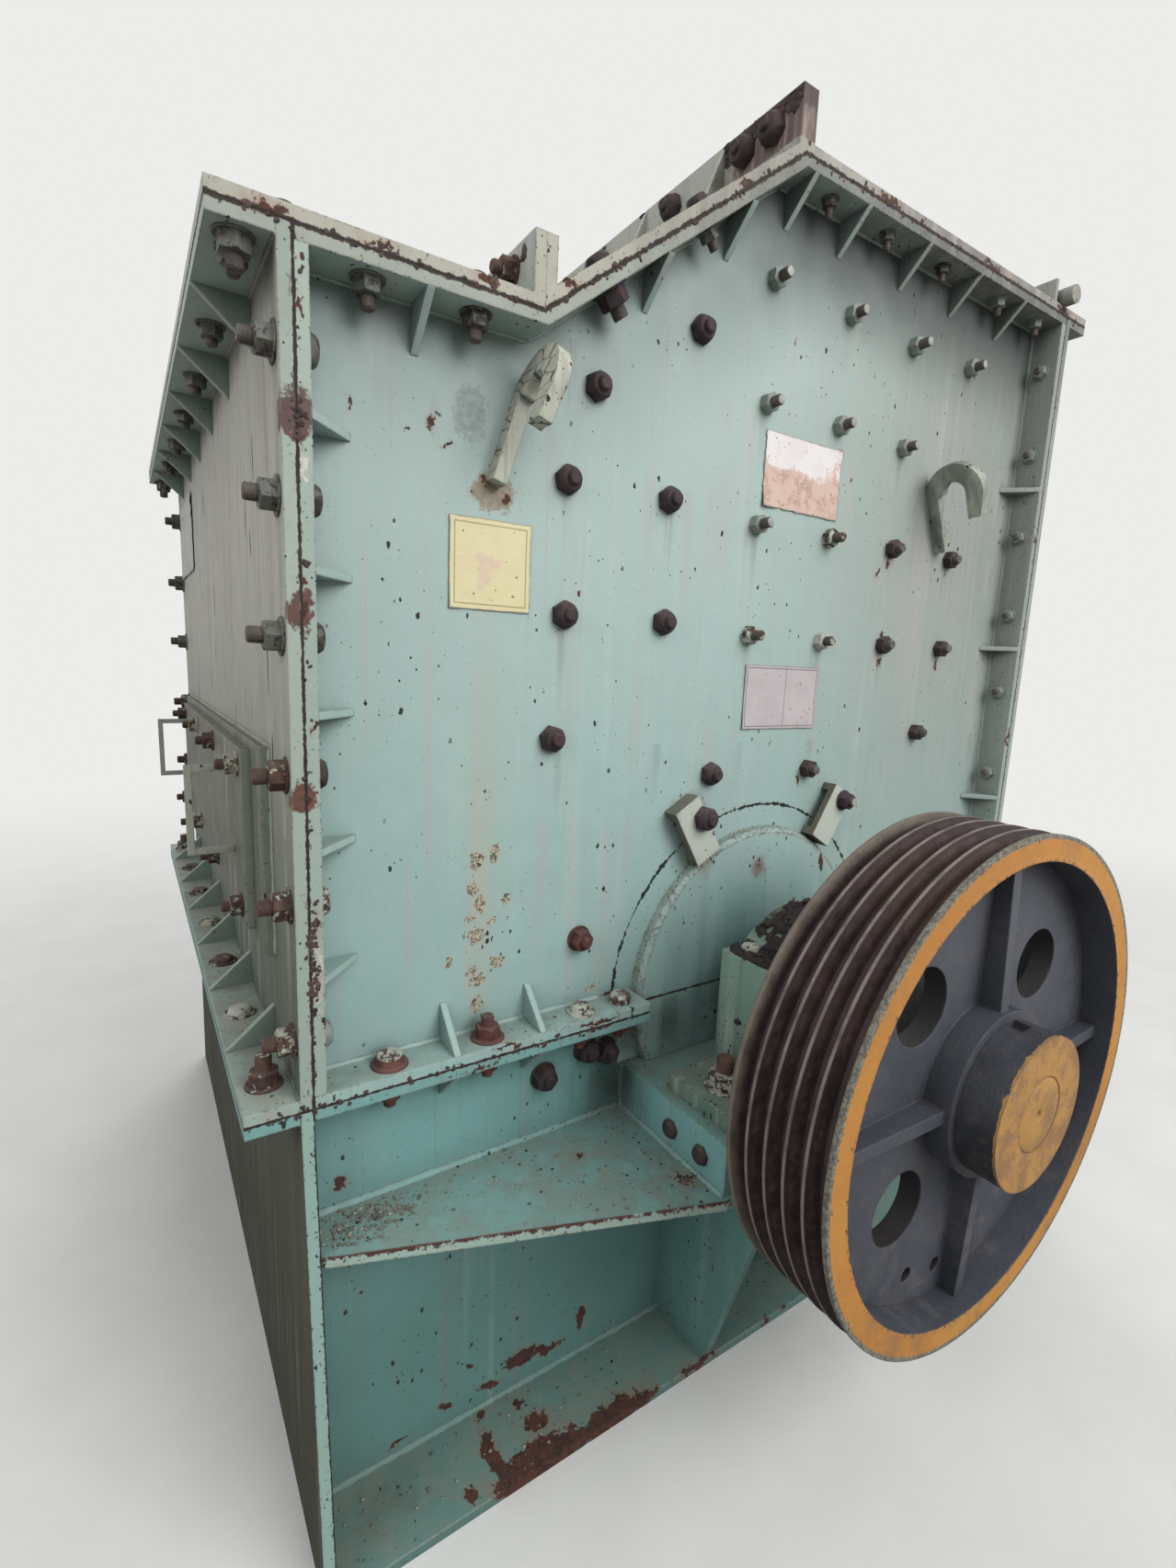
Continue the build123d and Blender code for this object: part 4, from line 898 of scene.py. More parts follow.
def hexagon(flats, height, dome=0.0):
    """A nut or bolt head with a turned chamfer, and a domed top if asked."""
    half = flats / 2
    top = half * 0.95
    low, middle, high = [], [], []
    for step in range(HEX_POINTS):
        angle = 2 * math.pi * step / HEX_POINTS
        reach = half / math.cos(angle % (math.pi / 3) - math.pi / 6)
        x, y = math.cos(angle), math.sin(angle)
        drop = (reach - top) * CHAMFER_SLOPE * (1 + 2 * (dome > 0))
        low.append((reach * x, reach * y, 0))
        middle.append((reach * x, reach * y, height - dome - drop))
        high.append((top * x, top * y, height - dome))
    rows = [low, middle, high]
    for share in DOME_STEPS if dome else ():
        radius = top * math.cos(share * math.pi / 2) ** 0.7
        level = height - dome + dome * math.sin(share * math.pi / 2)
        rows.append([(radius * x / top, radius * y / top, level) for x, y, _ in high])
    return loft(rows)


THREAD_PITCH, THREAD_DEPTH = 0.003, 0.0016
TIP_LENGTH, TIP_DEPTH = 0.0025, 0.002


def threaded(radius, length, sides=12):
    """A stud with thread turns that wind up to a worn, chamfered end."""
    steps = max(4, round(length / THREAD_PITCH * 3))
    rows = []
    for step in range(steps + 1):
        height = length * step / steps
        row = []
        for corner in range(sides):
            turn = corner / sides
            wave = abs((height / THREAD_PITCH + turn) % 1.0 - 0.5) * 2
            reach = radius - THREAD_DEPTH * wave
            if height > length - TIP_LENGTH:
                reach -= TIP_DEPTH * (height - length + TIP_LENGTH) / TIP_LENGTH
            angle = 2 * math.pi * turn
            row.append((reach * math.cos(angle), reach * math.sin(angle), height))
        rows.append(row)
    return loft(rows)


def facing(place, direction, spin=0.0):
    """A place on a surface, with its Z axis pointing out along a direction."""
    turn = Vector(direction).to_track_quat("Z", "Y").to_matrix().to_4x4()
    return Matrix.Translation(Vector(place)) @ turn @ Matrix.Rotation(spin, 4, "Z")


FRONT, REAR = (0, -1, 0), (0, 1, 0)
UP, DOWN = (0, 0, 1), (0, 0, -1)
LEFT, RIGHT = (-1, 0, 0), (1, 0, 0)
NUT_FLATS, NUT_HEIGHT = 0.036, 0.02
STUD_RADIUS = 0.0115
WASHER_RADIUS, WASHER_THICK = 0.025, 0.0035
END_CHAMFER = 0.0022


class Bolts(Heap):
    """Fasteners of one side of the machine."""

    def spin(self):
        return self.random.uniform(0, math.pi)

    def nut(self, place, direction, paint, stud, reach, size=1.0, end=None, washer=True):
        """A nut on a stud, over a washer, with the stud's cut end if it has its own look."""
        base = 0.0
        direction, at = Vector(direction), Vector(place)
        radius = STUD_RADIUS * size
        if washer:
            base = WASHER_THICK
            self.put(ring(radius, WASHER_RADIUS * size, base), facing(at, direction), paint)
        tilt = Vector([self.random.uniform(-0.02, 0.02) for _ in range(3)])
        way = (direction + tilt).normalized()
        self.put(hexagon(NUT_FLATS * size, NUT_HEIGHT * size),
                 facing(at + direction * base * 0.9, direction, self.spin()), paint)
        length = base + NUT_HEIGHT * size + reach * self.random.uniform(0.9, 1.1)
        self.put(threaded(radius, length), facing(at, way, self.spin()), stud)
        if end is not None:
            radius -= END_CHAMFER
            self.put(turned([(radius, 0.0), (radius, 0.0006), (radius * 0.8, 0.0012)], 16),
                     facing(at + way * (length - 0.0002), way), end)

    def head(self, place, direction, paint=DARK, flats=0.045, height=0.026, dome=0.008,
             stub=0.0):
        """A thick bolt head or cap nut with a domed top, and a short stud end if asked."""
        self.put(hexagon(flats, height, dome), facing(place, direction, self.spin()), paint)
        if stub:
            tip = Vector(place) + Vector(direction) * (height - dome * 0.5)
            self.put(turned([(0.0125, 0.0), (0.0125, stub + dome * 0.4),
                             (0.01, stub + dome * 0.4 + 0.0025)], 16),
                     facing(tip, direction), paint)

    def washer(self, place, paint, outer=0.028, inner=0.012, thick=0.004):
        self.put(ring(inner, outer, thick), facing(place, UP), paint)

    def cap(self, place, direction, radius=0.0205, height=0.02):
        """A flared rusty nut whose top is a chipped pale ring about a hollow."""
        self.put(turned([(radius * 1.55, 0), (radius * 1.5, 0.003), (radius * 1.25, 0.006),
                         (radius * 1.06, height * 0.75), (radius * 1.02, height * 0.8)]),
                 facing(place, direction), RED)
        self.put(turned([(radius * 1.03, 0), (radius * 1.03, height * 0.1),
                         (radius * 0.93, height * 0.22), (radius * 0.56, height * 0.22),
                         (radius * 0.5, height * 0.05)]),
                 facing(Vector(place) + Vector(direction) * height * 0.79, direction), CREAMY)


# Bolts of the front wall: x and z in metres
RINGED_NUTS = [(0.192, 1.866), (-0.042, 1.635), (0.194, 1.634)]
PALE_NUTS = [(-0.04, 2.338), (0.202, 2.338), (0.435, 2.333), (0.673, 2.343), (-0.036, 2.105),
             (0.194, 2.108), (0.432, 2.106), (-0.041, 1.865), *RINGED_NUTS]
DARK_NUTS = [(0.428, 1.87), (0.678, 1.871), (0.429, 1.637), (0.681, 1.639), (0.612, 1.413),
             (0.187, 1.332)]
DARK_HEADS = [(-0.226, 2.195), (-0.457, 2.042), (-0.512, 1.877), (-0.282, 1.878),
              (-0.51, 1.645), (-0.28, 1.647), (-0.528, 1.419), (-0.126, 1.334)]
CLAMP_HEAD, CLAMP_NUT = (-0.168, CLAMP_FACE, 1.246), (0.291, CLAMP_FACE, 1.253)
LOW_RUSTY_NUT = (-0.449, WALL, 1.015)
BELOW_SPLIT_NUTS = [(-0.522, 0.736), (-0.422, 0.768), (-0.372, 0.752)]

# Bolts of the flanges: heights or x, with the kinds of nut, stud and head
CORNER_BOLTS = [(1.965, GREY, STEEL, GREY), (1.77, GREY, STEEL, GREY), (1.58, GREY, STEEL, GREY),
                (1.38, CHIPPED, RUSTED, DARK), (1.18, CHIPPED, RUSTED, CREAMY),
                (0.96, CHIPPED, RUSTED, GREEN)]
RIGHT_CORNER_HEIGHTS = [2.39, 2.175, 1.96, 1.744, 1.528, 1.291, 1.075]
SPLIT_CAP, SPLIT_NUT, SPLIT_HEAD, SPLIT_PIN = SPLIT_BOLTS = (-0.8455, -0.6635, -0.4605, -0.3645)
PEAK_BOLTS = [-0.815, -0.738, -0.512, -0.232]
HATCH_ROWS, HATCH_HEIGHTS = (-0.5685, -0.19, 0.19, 0.5685), (1.36, 1.1)
PEDESTAL_ROWS, PEDESTAL_HEIGHT = (-0.981, -1.07), 0.654
FOOT_REACH, LEDGE_REACH, LEDGE_INSET = 0.272, 0.171, 0.042

# Nuts under the top flange: x, which stretch of the roof, size and kind; and heads above it
UNDER_ROOF = [(-1.04, 0, 1.05, GREY), (-0.87, 0, 1.0, GREY), (-0.706, 0, 1.0, GREY),
              (-0.476, 1, 1.25, DARK), (-0.27, 1, 0.8, GREY), (0.06, 2, 0.7, GREY),
              (0.25, 2, 0.7, GREY), (0.46, 2, 0.7, GREY), (0.706, 2, 0.8, GREEN),
              (0.89, 2, 0.8, GREEN)]
ABOVE_ROOF = [(-0.98, 0), (-0.706, 0), (-0.476, 1), (-0.27, 1), (0.06, 2), (0.46, 2),
              (0.89, 2)]


def side_bolts():
    """The fasteners of the front side wall, its flanges, pedestal and bearing."""
    bolts = Bolts(11)
    for x, z in PALE_NUTS:
        paint, end = (CREAMY, CHIPPED) if (x, z) in RINGED_NUTS else (GREEN, END)
        bolts.nut((x, WALL, z), FRONT, paint, STEEL, 0.022, end=end, washer=False)
    for x, z in DARK_NUTS:
        bolts.nut((x, WALL, z), FRONT, DARK, STEEL, 0.014, 1.08, GREY, washer=False)
    for x, z in DARK_HEADS:
        bolts.head((x, WALL, z), FRONT, stub=0.006)
    bolts.head(CLAMP_HEAD, FRONT, DARK, 0.048, 0.028, stub=0.004)
    bolts.nut(CLAMP_NUT, FRONT, DARK, STEEL, 0.01, end=END)
    bolts.nut(LOW_RUSTY_NUT, FRONT, RED, RED, 0.01, 1.05)
    for x, z in BELOW_SPLIT_NUTS:
        bolts.nut((x, WALL, z), FRONT, DARK, DARK, 0.01, 1.15)
    for z, paint, stud, other in CORNER_BOLTS:
        bolts.nut((END_LEFT, FLANGE_MIDDLE, z), LEFT, paint, stud, 0.02, 1.12)
        bolts.head((WALL_LEFT + PLATE, FLANGE_MIDDLE, z), RIGHT, other, 0.044, 0.018, 0.006)
    for z in RIGHT_CORNER_HEIGHTS:
        bolts.head((END_RIGHT, FLANGE_MIDDLE, z), RIGHT, GREY, 0.038, 0.016, 0.004)
        bolts.nut((WALL_RIGHT - PLATE, FLANGE_MIDDLE, z), LEFT, GREEN, STEEL, 0.008, 0.8)
    for mirrored in (False, True):
        for x in SPLIT_BOLTS:
            split_bolt(bolts, x, 2 * AXIS.x - x if mirrored else x)
    for x, stretch, size, kind in UNDER_ROOF:
        seam, up = roof_line(x, stretch)
        bolts.nut(seam - up * PLATE, -up, kind, STEEL, 0.018, size)
    for x, stretch in ABOVE_ROOF:
        seam, up = roof_line(x, stretch)
        bolts.head(seam + up * PLATE, up, DARK, 0.036, 0.015, 0.003)
    bearing_bolts(bolts)
    return bolts


def split_bolt(bolts, kind, x):
    """One bolt of the split flange or the shaft cover's tab, of the kind that its place has."""
    top = (x, FLANGE_MIDDLE, SPLIT_TOP)
    if kind == SPLIT_CAP:
        bolts.cap(top, UP)
    elif kind == SPLIT_NUT:
        bolts.nut(top, UP, RED, RED, 0.02, 1.1, CREAMY)
        bolts.washer(top, RED, 0.031, 0.013, 0.003)
    elif kind == SPLIT_HEAD:
        bolts.head(top, UP, CREAMY, 0.038, 0.018, 0.002)
        bolts.washer(top, CREAMY)
    elif kind == SPLIT_PIN:
        bolts.put(turned([(0.022, 0.0), (0.022, 0.014), (0.018, 0.018), (0.01, 0.0185)]),
                  facing(top, UP), CREAMY)
    bolts.nut((x, FLANGE_MIDDLE, SPLIT_BOTTOM), DOWN, RED, RED, 0.014, 0.95)


def roof_line(x, stretch):
    """A point of the roof's joint over the flange's middle, and the way up from it."""
    level = (LOW_ROOF, LOW_ROOF + (x - VALLEY_X) * math.tan(SLOPE), HIGH_ROOF)[stretch]
    lean = SLOPE if stretch == 1 else 0.0
    return Vector((x, FLANGE_MIDDLE, level)), Vector((-math.sin(lean), 0, math.cos(lean)))


def bearing_bolts(bolts):
    """Bolts of the pedestal's side, the bearing's foot and its ledges."""
    for y in PEDESTAL_ROWS:
        for corner, way in zip(PEDESTAL, (LEFT, RIGHT)):
            bolts.head((corner.x, y, PEDESTAL_HEIGHT), way, DARK, 0.034, 0.013, 0.003)
    low, high = BEARING[0].y, BEARING[1].y
    for side in (-1, 1):
        foot = (AXIS.x + side * FOOT_REACH, (low + high) / 2, PEDESTAL[1].z + FOOT_THICK)
        bolts.nut(foot, UP, CHIPPED, RUSTED, 0.03, 1.5)
        for y in (low + LEDGE_INSET, high - LEDGE_INSET):
            place = (AXIS.x + side * LEDGE_REACH, y, BEARING_LEDGE)
            bolts.head(place, UP, CREAMY, 0.036, 0.018, 0.002)
            bolts.washer(place, CHIPPED, 0.026)


def end_bolts():
    """The fasteners of both ends, the hatch, and the roof's standing flanges."""
    bolts = Bolts(23)
    rows = [ROW_PITCH * step for step in range(-3, 4)]
    for y in rows:
        for x, roof in ((-END_MIDDLE, LOW_ROOF), (END_MIDDLE, HIGH_ROOF)):
            top = (x, y, SPLIT_TOP)
            if x < 0 and abs(y) > 0.8:
                bolts.nut(top, UP, CHIPPED, RUSTED, 0.024, 1.15, CREAMY)
            else:
                bolts.head(top, UP, CREAMY if y < -0.5 else CHIPPED, 0.04, 0.014, 0.003)
            bolts.washer(top, CHIPPED)
            bolts.nut((x, y, SPLIT_BOTTOM), DOWN, CHIPPED, RUSTED, 0.014)
            bolts.nut((x, y, roof - PLATE), DOWN, GREY, STEEL, 0.012, 0.9)
            bolts.head((x, y, roof + PLATE), UP, DARK, 0.036, 0.015, 0.003)
    for y in HATCH_ROWS:
        for z in HATCH_HEIGHTS:
            bolts.nut((HATCH_FACE, y, z), LEFT, CHIPPED, RUSTED, 0.014, 0.9)
    for y in rows:
        bolts.nut((VALLEY_X - PLATE, y, LOW_ROOF + 0.075), LEFT, CHIPPED, RUSTED, 0.014)
        bolts.head((VALLEY_X + PLATE, y, LOW_ROOF + 0.09), RIGHT, DARK, 0.038, 0.014, 0.003)
    for y in PEAK_BOLTS + [-y for y in PEAK_BOLTS]:
        level = ROOF_TOP - 0.046
        bolts.head((PEAK_X - PLATE, y, level), LEFT, DARK, 0.05, 0.03, 0.009, 0.006)
        bolts.head((PEAK_X + PLATE, y, level), RIGHT, DARK, 0.044, 0.02, 0.005)
    return bolts


BEAD_STEP = 0.007


class Welds(Heap):
    """Beads in the inner corners between two plates."""

    def bead(self, start, end, first, second=FRONT, size=0.0045):
        """A weld bead between two points, in the corner of two directions."""
        start, end, first, second = map(Vector, (start, end, first, second))
        run = end - start
        steps = max(2, round(run.length / BEAD_STEP))
        rows = []
        for step in range(steps + 1):
            at = start + run * step / steps
            swell = 1 + 0.3 * noise.noise(at * 60) + 0.1 * (step % 2)
            reach = size * swell * (0.5 if step in (0, steps) else 1.0)
            rows.append([at, at + first * reach, at + (first + second) * reach * 0.62,
                         at + second * reach])
        if run.cross(first).dot(second) > 0:
            rows = [row[::-1] for row in rows]
        self.put(loft(rows), Matrix())


def upper_welds():
    """The beads of the front side's upper wall."""
    welds = Welds()
    inner = WALL_RIGHT - PLATE
    low, high = LOW_ROOF - PLATE, HIGH_ROOF - PLATE
    shift = PLATE * math.tan(SLOPE / 2)
    roof = [(-inner, WALL, low), (VALLEY_X + shift, WALL, low), (PEAK_X + shift, WALL, high),
            (inner, WALL, high)]
    for start, end, lean in zip(roof, roof[1:], (0.0, SLOPE, 0.0)):
        welds.bead(start, end, (math.sin(lean), 0, -math.cos(lean)))
    for side, top in ((-1, low), (1, high)):
        foot = (side * inner, WALL, SPLIT_TOP)
        welds.bead(foot, (side * inner, WALL, top), (-side, 0, 0))
        welds.bead(foot, (AXIS.x + side * SPLIT_GAP, WALL, SPLIT_TOP), UP, size=0.006)
    return welds


def base_welds():
    """The beads of the front side's base."""
    welds = Welds()
    for side in (-1, 1):
        out, inward = (side, 0, 0), (-side, 0, 0)
        edge, near = side * WALL_RIGHT, PEDESTAL[side > 0].x
        corner = (near, WALL, SHELF_TOP)
        welds.bead((side * (WALL_RIGHT - PLATE), WALL, SPLIT_BOTTOM),
                   (AXIS.x + side * SPLIT_GAP, WALL, SPLIT_BOTTOM), DOWN)
        welds.bead((edge, WALL, PLATE), (edge, WALL, SHELF_TOP - PLATE), inward)
        welds.bead((edge, WALL, SHELF_TOP), (edge, WALL, SPLIT_BOTTOM), inward)
        welds.bead((edge, WALL, SHELF_TOP), corner, UP, size=0.008)
        welds.bead(corner, (near, PEDESTAL[0].y, SHELF_TOP), UP, out, 0.007)
        welds.bead(corner, (near, WALL, PEDESTAL[1].z), FRONT, out, 0.006)
    for z, way, size in ((PLATE, UP, 0.007), (SHELF_TOP - PLATE, DOWN, 0.006)):
        welds.bead((-WALL_RIGHT, WALL, z), (WALL_RIGHT, WALL, z), way, size=size)
    return welds


def end_welds():
    """The beads of both ends."""
    welds = Welds()
    for side, roof in ((-1, LOW_ROOF), (1, HIGH_ROOF)):
        x = side * END_RIGHT
        for z, way in ((SPLIT_TOP, UP), (SPLIT_BOTTOM, DOWN), (roof - PLATE, DOWN)):
            welds.bead((x, FLANGE_EDGE, z), (x, -FLANGE_EDGE, z), way, (side, 0, 0))
    low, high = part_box("hatch_frame")
    for z, way in ((high.z, UP), (low.z, DOWN)):
        welds.bead((END_LEFT, low.y, z), (END_LEFT, high.y, z), way, LEFT)
    for y, way in ((low.y, FRONT), (high.y, REAR)):
        welds.bead((END_LEFT, y, low.z), (END_LEFT, y, high.z), way, LEFT)
    return welds


# Rust crust and gravel
def flake(width, tall, thick, seed, sides=14):
    """A thin curled flake of rust with a ragged outline and a rough top."""
    start = Vector((seed * 7.31, seed * 3.17, 0.5))

    def row(share, level):
        points = []
        for step in range(sides):
            angle = 2 * math.pi * step / sides
            way = Vector((math.cos(angle), math.sin(angle), 0))
            wobble = 1 + 0.5 * noise.noise(start + way * 1.6) + 0.35 * noise.noise(start + way * 6)
            lift = level * (1 + 0.7 * noise.noise(start + way * (4 + 3 * share)))
            points.append((way.x * width * wobble * share, way.y * tall * wobble * share, lift))
        return points

    return loft([row(1.0, 0.0), row(0.96, thick * 0.6), row(0.7, thick), row(0.3, thick * 1.2)])


CORNER_LOW, CORNER_HIGH, ROOF_END = 0.9, 2.07, 1.06


def drawn_flake(draw, *limits):
    """A flake whose width, height and thickness are drawn between limits."""
    return flake(*(draw.uniform(*pair) for pair in limits), draw.uniform(0, 50))


def roof_crust():
    """Flakes of rust on the roof's standing flanges."""
    heap = Heap(9)
    draw = heap.random
    front = FLANGE_EDGE + 0.01
    top = cad_box[1].z
    for x, level, count in ((PEAK_X, ROOF_TOP, 90), (VALLEY_X, VALLEY_TOP, 60)):
        for side, way in ((-1, LEFT), (1, RIGHT)):
            for index in range(count):
                tall = draw.uniform(0.003, 0.011)
                y = draw.uniform(front, -front)
                if x == PEAK_X and index % 6:
                    y = draw.uniform(front, FLANGE_EDGE + 0.2)
                z = min(level, top) - (tall * 1.3 + 0.022 * draw.random() ** 2)
                heap.put(flake(draw.uniform(0.004, 0.016), tall, draw.uniform(0.0012, 0.0045),
                               draw.uniform(0, 50)), facing((x + side * PLATE, y, z), way))
        for index in range(count):
            y = draw.uniform(front, -front)
            if level < top - 0.01:
                heap.put(drawn_flake(draw, (0.004, 0.012), (0.004, 0.012), (0.0015, 0.004)),
                         facing((x + draw.uniform(-0.015, 0.015), y, level), UP))
    for point in heap.points:
        point.z = min(point.z, top)
    return heap


def edge_crust(seed):
    """Small flakes of rust along the front joints: roof, split and corner."""
    heap = Heap(seed)
    draw = heap.random

    def put(x, z, size):
        heap.put(flake(size, size * draw.uniform(0.6, 1.6), 0.0012, draw.uniform(0, 50), 10),
                 facing((x, FLANGE_EDGE, z), FRONT, draw.uniform(0, 3)))

    for _ in range(70):
        along = draw.random()
        stretch = (along > 0.25) + (along > 0.55)
        low, high = ((-ROOF_END, VALLEY_X), (VALLEY_X, PEAK_X), (PEAK_X, ROOF_END))[stretch]
        seam, up = roof_line(draw.uniform(low, high), stretch)
        spot = seam + up * draw.gauss(0, 0.004)
        put(spot.x, spot.z, draw.uniform(0.0015, 0.005))
    for _ in range(46):
        put(draw.uniform(-1.05, AXIS.x - SPLIT_GAP), SPLIT + draw.gauss(0, 0.004),
            draw.uniform(0.0015, 0.0045))
    for _ in range(70):
        z = draw.choice((draw.uniform(CORNER_LOW, CORNER_HIGH), draw.gauss(1.09, 0.05),
                         draw.gauss(1.865, 0.012)))
        put(-WALL_RIGHT + draw.gauss(0.003, 0.005), min(CORNER_HIGH, max(CORNER_LOW, z)),
            draw.uniform(0.0015, 0.005))
    return heap


def bearing_crust():
    """Thick black flakes of grease and rust over the bearing's cap."""
    heap = Heap(17)
    draw = heap.random
    front, back = BEARING[0].y + 0.02, BEARING[1].y - 0.01
    for _ in range(170):
        x = AXIS.x + draw.gauss(-0.065, 0.08)
        y = draw.uniform(front, back)
        rise = math.sqrt(max(0.0, 0.2 ** 2 - (x - AXIS.x) ** 2))
        normal = Vector((x - AXIS.x, 0, rise)).normalized()
        place = Vector((AXIS.x, y, AXIS.z)) + normal * (BEARING[1].z - AXIS.z)
        tilt = Vector([draw.gauss(0, 0.35) for _ in range(3)])
        heap.put(drawn_flake(draw, (0.006, 0.022), (0.005, 0.016), (0.003, 0.009)),
                 facing(place, (normal + tilt).normalized()))
    for _ in range(60):
        place = (AXIS.x - 0.12 - 0.08 * math.sqrt(draw.random()), draw.uniform(front, back),
                 BEARING_LEDGE)
        tilt = Vector((draw.gauss(0, 0.3), draw.gauss(0, 0.3), 1.0))
        heap.put(drawn_flake(draw, (0.006, 0.018), (0.005, 0.014), (0.003, 0.009)),
                 facing(place, tilt.normalized()))
    return heap


SHELF_NARROW, TAPER_START, TAPER_RUN = 0.09, 0.3225, 0.654

# Stretches of gravel: how many stones, their middle, how far they spread, and the plate's top
GRAVEL = [(520, -0.885, -0.862, 0.05, 0.024, SHELF_TOP), (90, -0.6, -0.9, 0.22, 0.05, SHELF_TOP),
          (90, -0.48, -1.0, 0.1, 0.06, SHELF_TOP), (170, -0.55, -0.89, 0.3, 0.04, PLATE),
          (90, 0.7, -0.87, 0.16, 0.03, SHELF_TOP)]


def stones():
    """Gravel and dust that lie on the shelf and the foot."""
    heap = Heap(5)
    draw = heap.random
    taper = WALL - SHELF_EDGE - SHELF_NARROW
    for count, middle_x, middle_y, wide, deep, z in GRAVEL:
        for _ in range(count):
            size = 0.0008 + 0.0036 * draw.random() ** 2.2
            x, y = draw.gauss(middle_x, wide), draw.gauss(middle_y, deep)
            share = min(1.0, (abs(x) - TAPER_START) / TAPER_RUN)
            limit = FOOT_EDGE
            if z == SHELF_TOP:
                limit = WALL - SHELF_NARROW - taper * max(0.0, 1 - share)
            if limit + 0.006 < y < WALL - 0.008 and 0.34 < abs(x) < 0.968:
                shape = turned([(size * 0.7, 0), (size, size * 0.45), (size * 0.55, size * 0.8)],
                               5, draw.uniform(0, 6))
                squash = Matrix.Diagonal((1, draw.uniform(0.6, 1.0), 1, 1))
                heap.put(shape, Matrix.Translation((x, y, z)) @ squash, draw.choice((0, 0, 1)))
    return heap


# Bare plates
SHEET_OFF, SHEET_FRONT, SHEET_BACK = 0.0012, 0.0008, 0.0006
RAGGED = 0.006


def sheet(x0, x1, z0, z1, lift, seed, torn, crumple=0.0006, cells=18):
    """A thin plate whose corners have lifted, with its edges a little uneven, facing -Y."""
    front, back = [], []
    for row in range(cells + 1):
        for column in range(cells + 1):
            u, v = column / cells, row / cells
            at = Vector((u * 3, v * 3, seed))
            ragged = RAGGED * torn * noise.noise(at * 4) * (min(u, 1 - u, v, 1 - v) < 0.01)
            corner = max(0.0, (u - 0.5) * (v - 0.5) * 4 - 0.55)
            out = SHEET_OFF + lift * corner + crumple * (1 + noise.noise(at))
            x, z = x0 + (x1 - x0) * u + ragged, z0 + (z1 - z0) * v + ragged
            front.append((x, -out - SHEET_FRONT, z))
            back.append((x, -out + SHEET_BACK, z))
    wide, offset = cells + 1, len(front)
    faces = []
    for row in range(cells):
        for a in range(row * wide, row * wide + cells):
            b, c, d = a + 1, a + 1 + wide, a + wide
            faces += [(a, b, c, d), (offset + a, offset + d, offset + c, offset + b)]
    rim = ([row * wide for row in range(cells)] + [cells * wide + row for row in range(cells)]
           + [row * wide + cells for row in range(cells, 0, -1)] + list(range(cells, 0, -1)))
    faces += [(a, b, offset + b, offset + a) for a, b in zip(rim, rim[1:] + rim[:1])]
    return front + back, faces


PLATES = [
    ("yellow_plate", (-0.7315, -0.5815, 1.642, 1.79), 0.004, 0.3, (220, 210, 162),
     (222, 208, 168), {"stain": rgb(214, 190, 166), "inset": 0.009}),
    ("peeled_plate", (-0.0305, 0.2115, 1.907, 2.058), 0.012, 0.9, (232, 226, 226),
     (222, 212, 212), {"split": rgb(212, 184, 170)}),
    ("blank_plate", (-0.0405, 0.1995, 1.43, 1.572), 0.005, 0.3, (194, 184, 186),
     (184, 175, 176), {"inset": 0.006, "divided": True}),
]


def signs():
    """Three bare plates on the front wall, and a torn sheet on the left end."""
    for name, extent, lift, torn, main, second, marks in PLATES:
        sign_finish(name + "_print", rgb(*main), rgb(*second), extent, **marks)
        heap = Heap()
        heap.put(sheet(*extent, lift, len(name), torn), Matrix.Translation((0, WALL, 0)))
        heap.piece(name, "housing_paint", [name + "_print"])
    heap = Heap()
    heap.put(sheet(-0.8, -0.42, 1.78, 1.99, 0.006, 3, 2.4, 0.002),
             Matrix.Translation((END_LEFT, 0, 0)) @ Matrix.Rotation(-math.pi / 2, 4, "Z"))
    heap.piece("torn_sheet", "housing_paint", ["torn_sheet_face"])


def shaft_end():
    """What is seen at the pulley's hub: the shaft's end, with its centre mark."""
    heap = Heap()
    heap.put(turned([(0.0655, 0.0), (0.0655, 0.0012), (0.0635, 0.0018), (0.012, 0.0018),
                     (0.006, 0.0005)], 48), facing((AXIS.x, COLLAR_FRONT + 0.0022, AXIS.z), FRONT))
    return heap


FLOOR_REACH = 60.0
SKY, SKY_TINT = 0.525, (0.95, 0.97, 1.0, 1)
LAMP_AIM = (0, 0, 1.2)
# Lamps: name, place, size in metres and watts
LAMPS = [("key", (1.5, -6.5, 5.5), 5.0, 430.0), ("side", (-6.5, -2.0, 4.5), 4.0, 135.0),
         ("back", (2.0, 6.5, 5.0), 5.0, 215.0)]


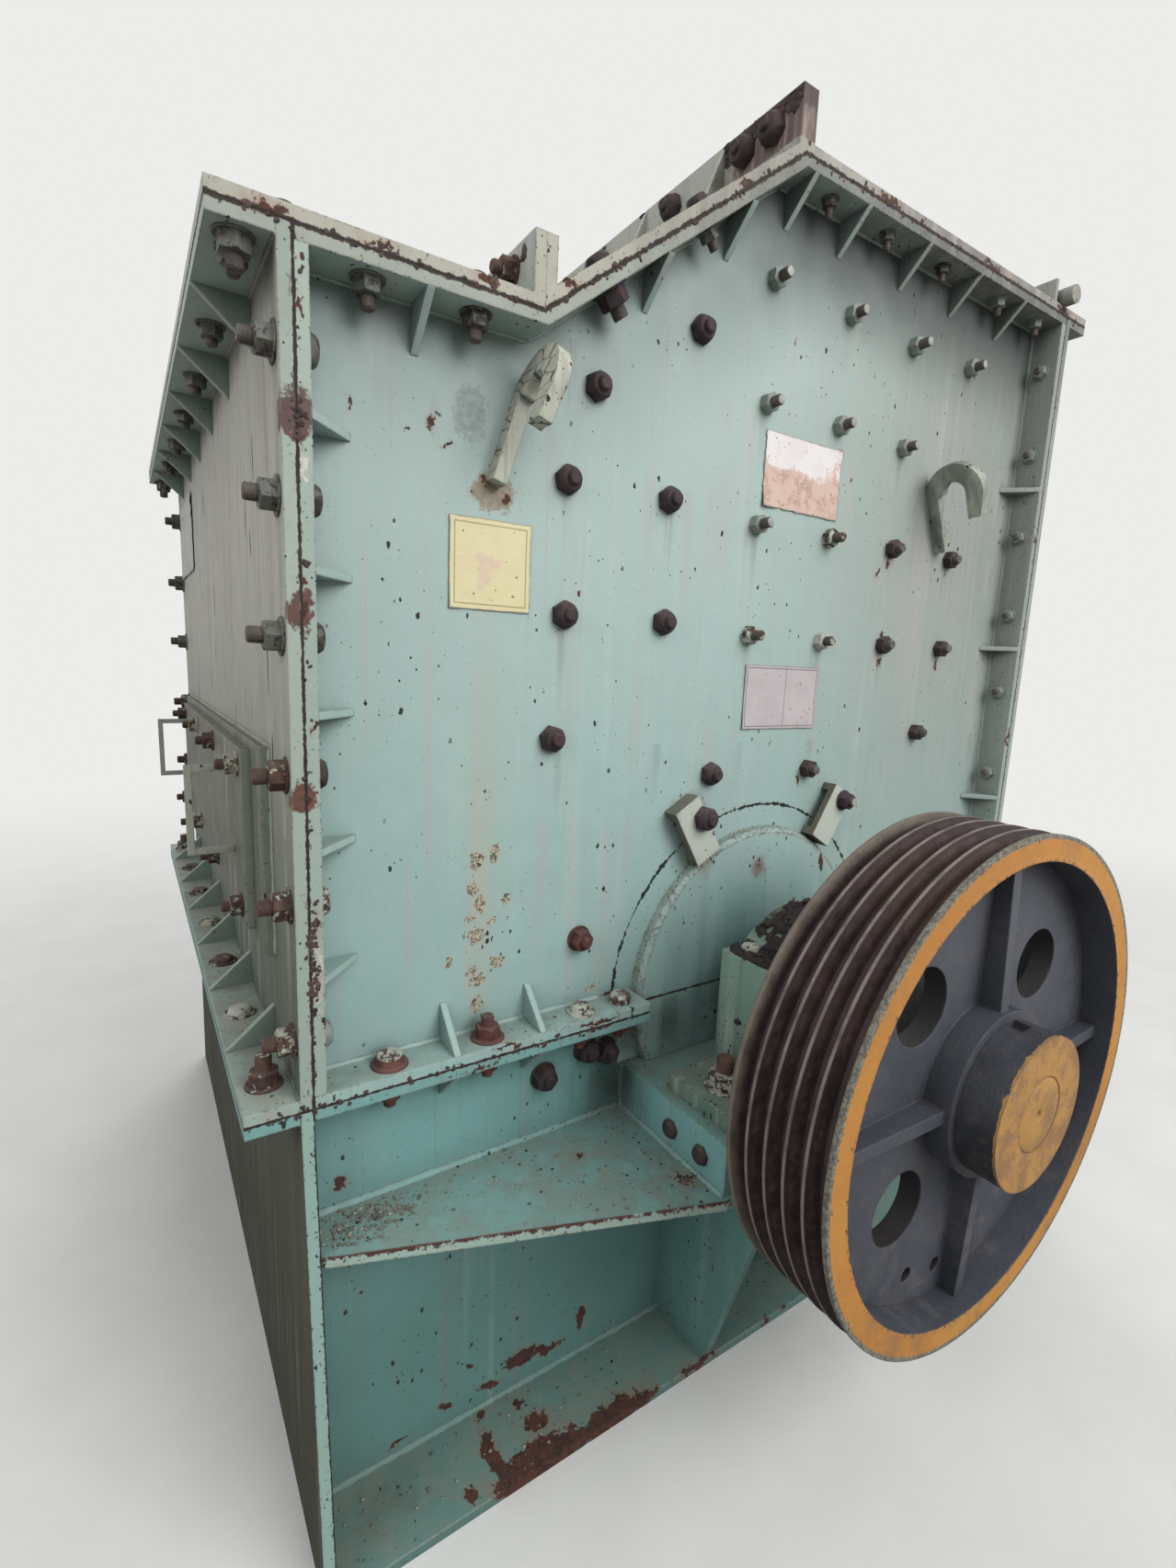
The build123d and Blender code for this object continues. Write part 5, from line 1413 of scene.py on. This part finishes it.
def stage_and_light():
    """A plain pale floor, soft lamps and a pale background."""
    w = Wiring("floor_pale", None)
    seen, shown = w.rays()
    flecked = w.noise(3.0, 5.0, 0.6).band(0.3, 0.7, 0.97, 1.03)
    w.give(w.shader.inputs["Base Color"], w.shade(w.mix(seen, FLOOR_SHADE, FLOOR_PALE), flecked))
    w.give(w.shader.inputs["Roughness"], 0.9)
    far = (w.x * w.x + w.y * w.y).root().band(1.9, 7.5) * shown
    glow = w.add("Emission", {"Color": BACKDROP, "Strength": 1.0})
    w.blend(far, *w.values(w.shader, 0), glow, "Material Output")
    mesh = bpy.data.meshes.new("floor")
    mesh.from_pydata([(x * FLOOR_REACH, y * FLOOR_REACH, 0)
                      for x, y in ((-1, -1), (1, -1), (1, 1), (-1, 1))], [], [(0, 1, 2, 3)])
    mesh.materials.append(w.material)
    placed("floor", mesh)

    world = bpy.data.worlds.new("sky")
    bpy.context.scene.world = world
    world.use_nodes = True
    sky = Tree(world.node_tree)
    lit = sky.tree.nodes["Background"]
    sky.give(lit.inputs["Color"], SKY_TINT)
    sky.give(lit.inputs["Strength"], SKY)
    backdrop = sky.add("Background", {"Color": BACKDROP})
    sky.blend(sky.rays()[1], *sky.values(lit, 0), backdrop, "World Output")

    for name, place, size, watts in LAMPS:
        lamp = bpy.data.lights.new(name, "AREA")
        lamp.size, lamp.energy = size, watts
        holder = placed(name, lamp)
        holder.location = place
        holder.rotation_mode = "QUATERNION"
        aim = Vector(LAMP_AIM) - Vector(place)
        holder.rotation_quaternion = aim.to_track_quat("-Z", "Y")


def camera():
    """The camera at the picture's viewpoint."""
    right, up = Vector(CAMERA_RIGHT).normalized(), Vector(CAMERA_UP).normalized()
    data = bpy.data.cameras.new("camera")
    data.sensor_width = SENSOR
    data.lens = FOCAL_PIXELS / PICTURE_HEIGHT * SENSOR
    holder = placed("camera", data)
    turn = Matrix((right, up, right.cross(up))).transposed().to_4x4()
    holder.matrix_world = Matrix.Translation(CAMERA_PLACE) @ turn
    bpy.context.scene.camera = holder


camera()
stage_and_light()
bpy.context.scene.view_settings.view_transform = "Standard"
dress_frame()
side_bolts().both_pieces("side_bolts", "housing_paint", FASTENERS)
end_bolts().piece("end_and_roof_bolts", "roof_paint", FASTENERS)
upper_welds().both_pieces("upper_welds", "housing_paint")
base_welds().both_pieces("base_welds", "base_paint")
end_welds().piece("end_welds", "housing_paint", ["end_paint"])
roof_crust().piece("roof_rust_crust", "roof_paint", ["rust_crust"])
edge_crust(3).piece("front_rust_flakes", "housing_paint", ["rust_crust"])
edge_crust(4).mirrored().piece("rear_rust_flakes", "housing_paint", ["rust_crust"])
bearing_crust().piece("bearing_crust", "bearing_paint", ["black_crust"])
stones().piece("shelf_gravel", "base_paint", ["gravel", "gravel_pale"])
signs()
shaft_end().piece("shaft_end_face", "hub_paint", body="rotor")
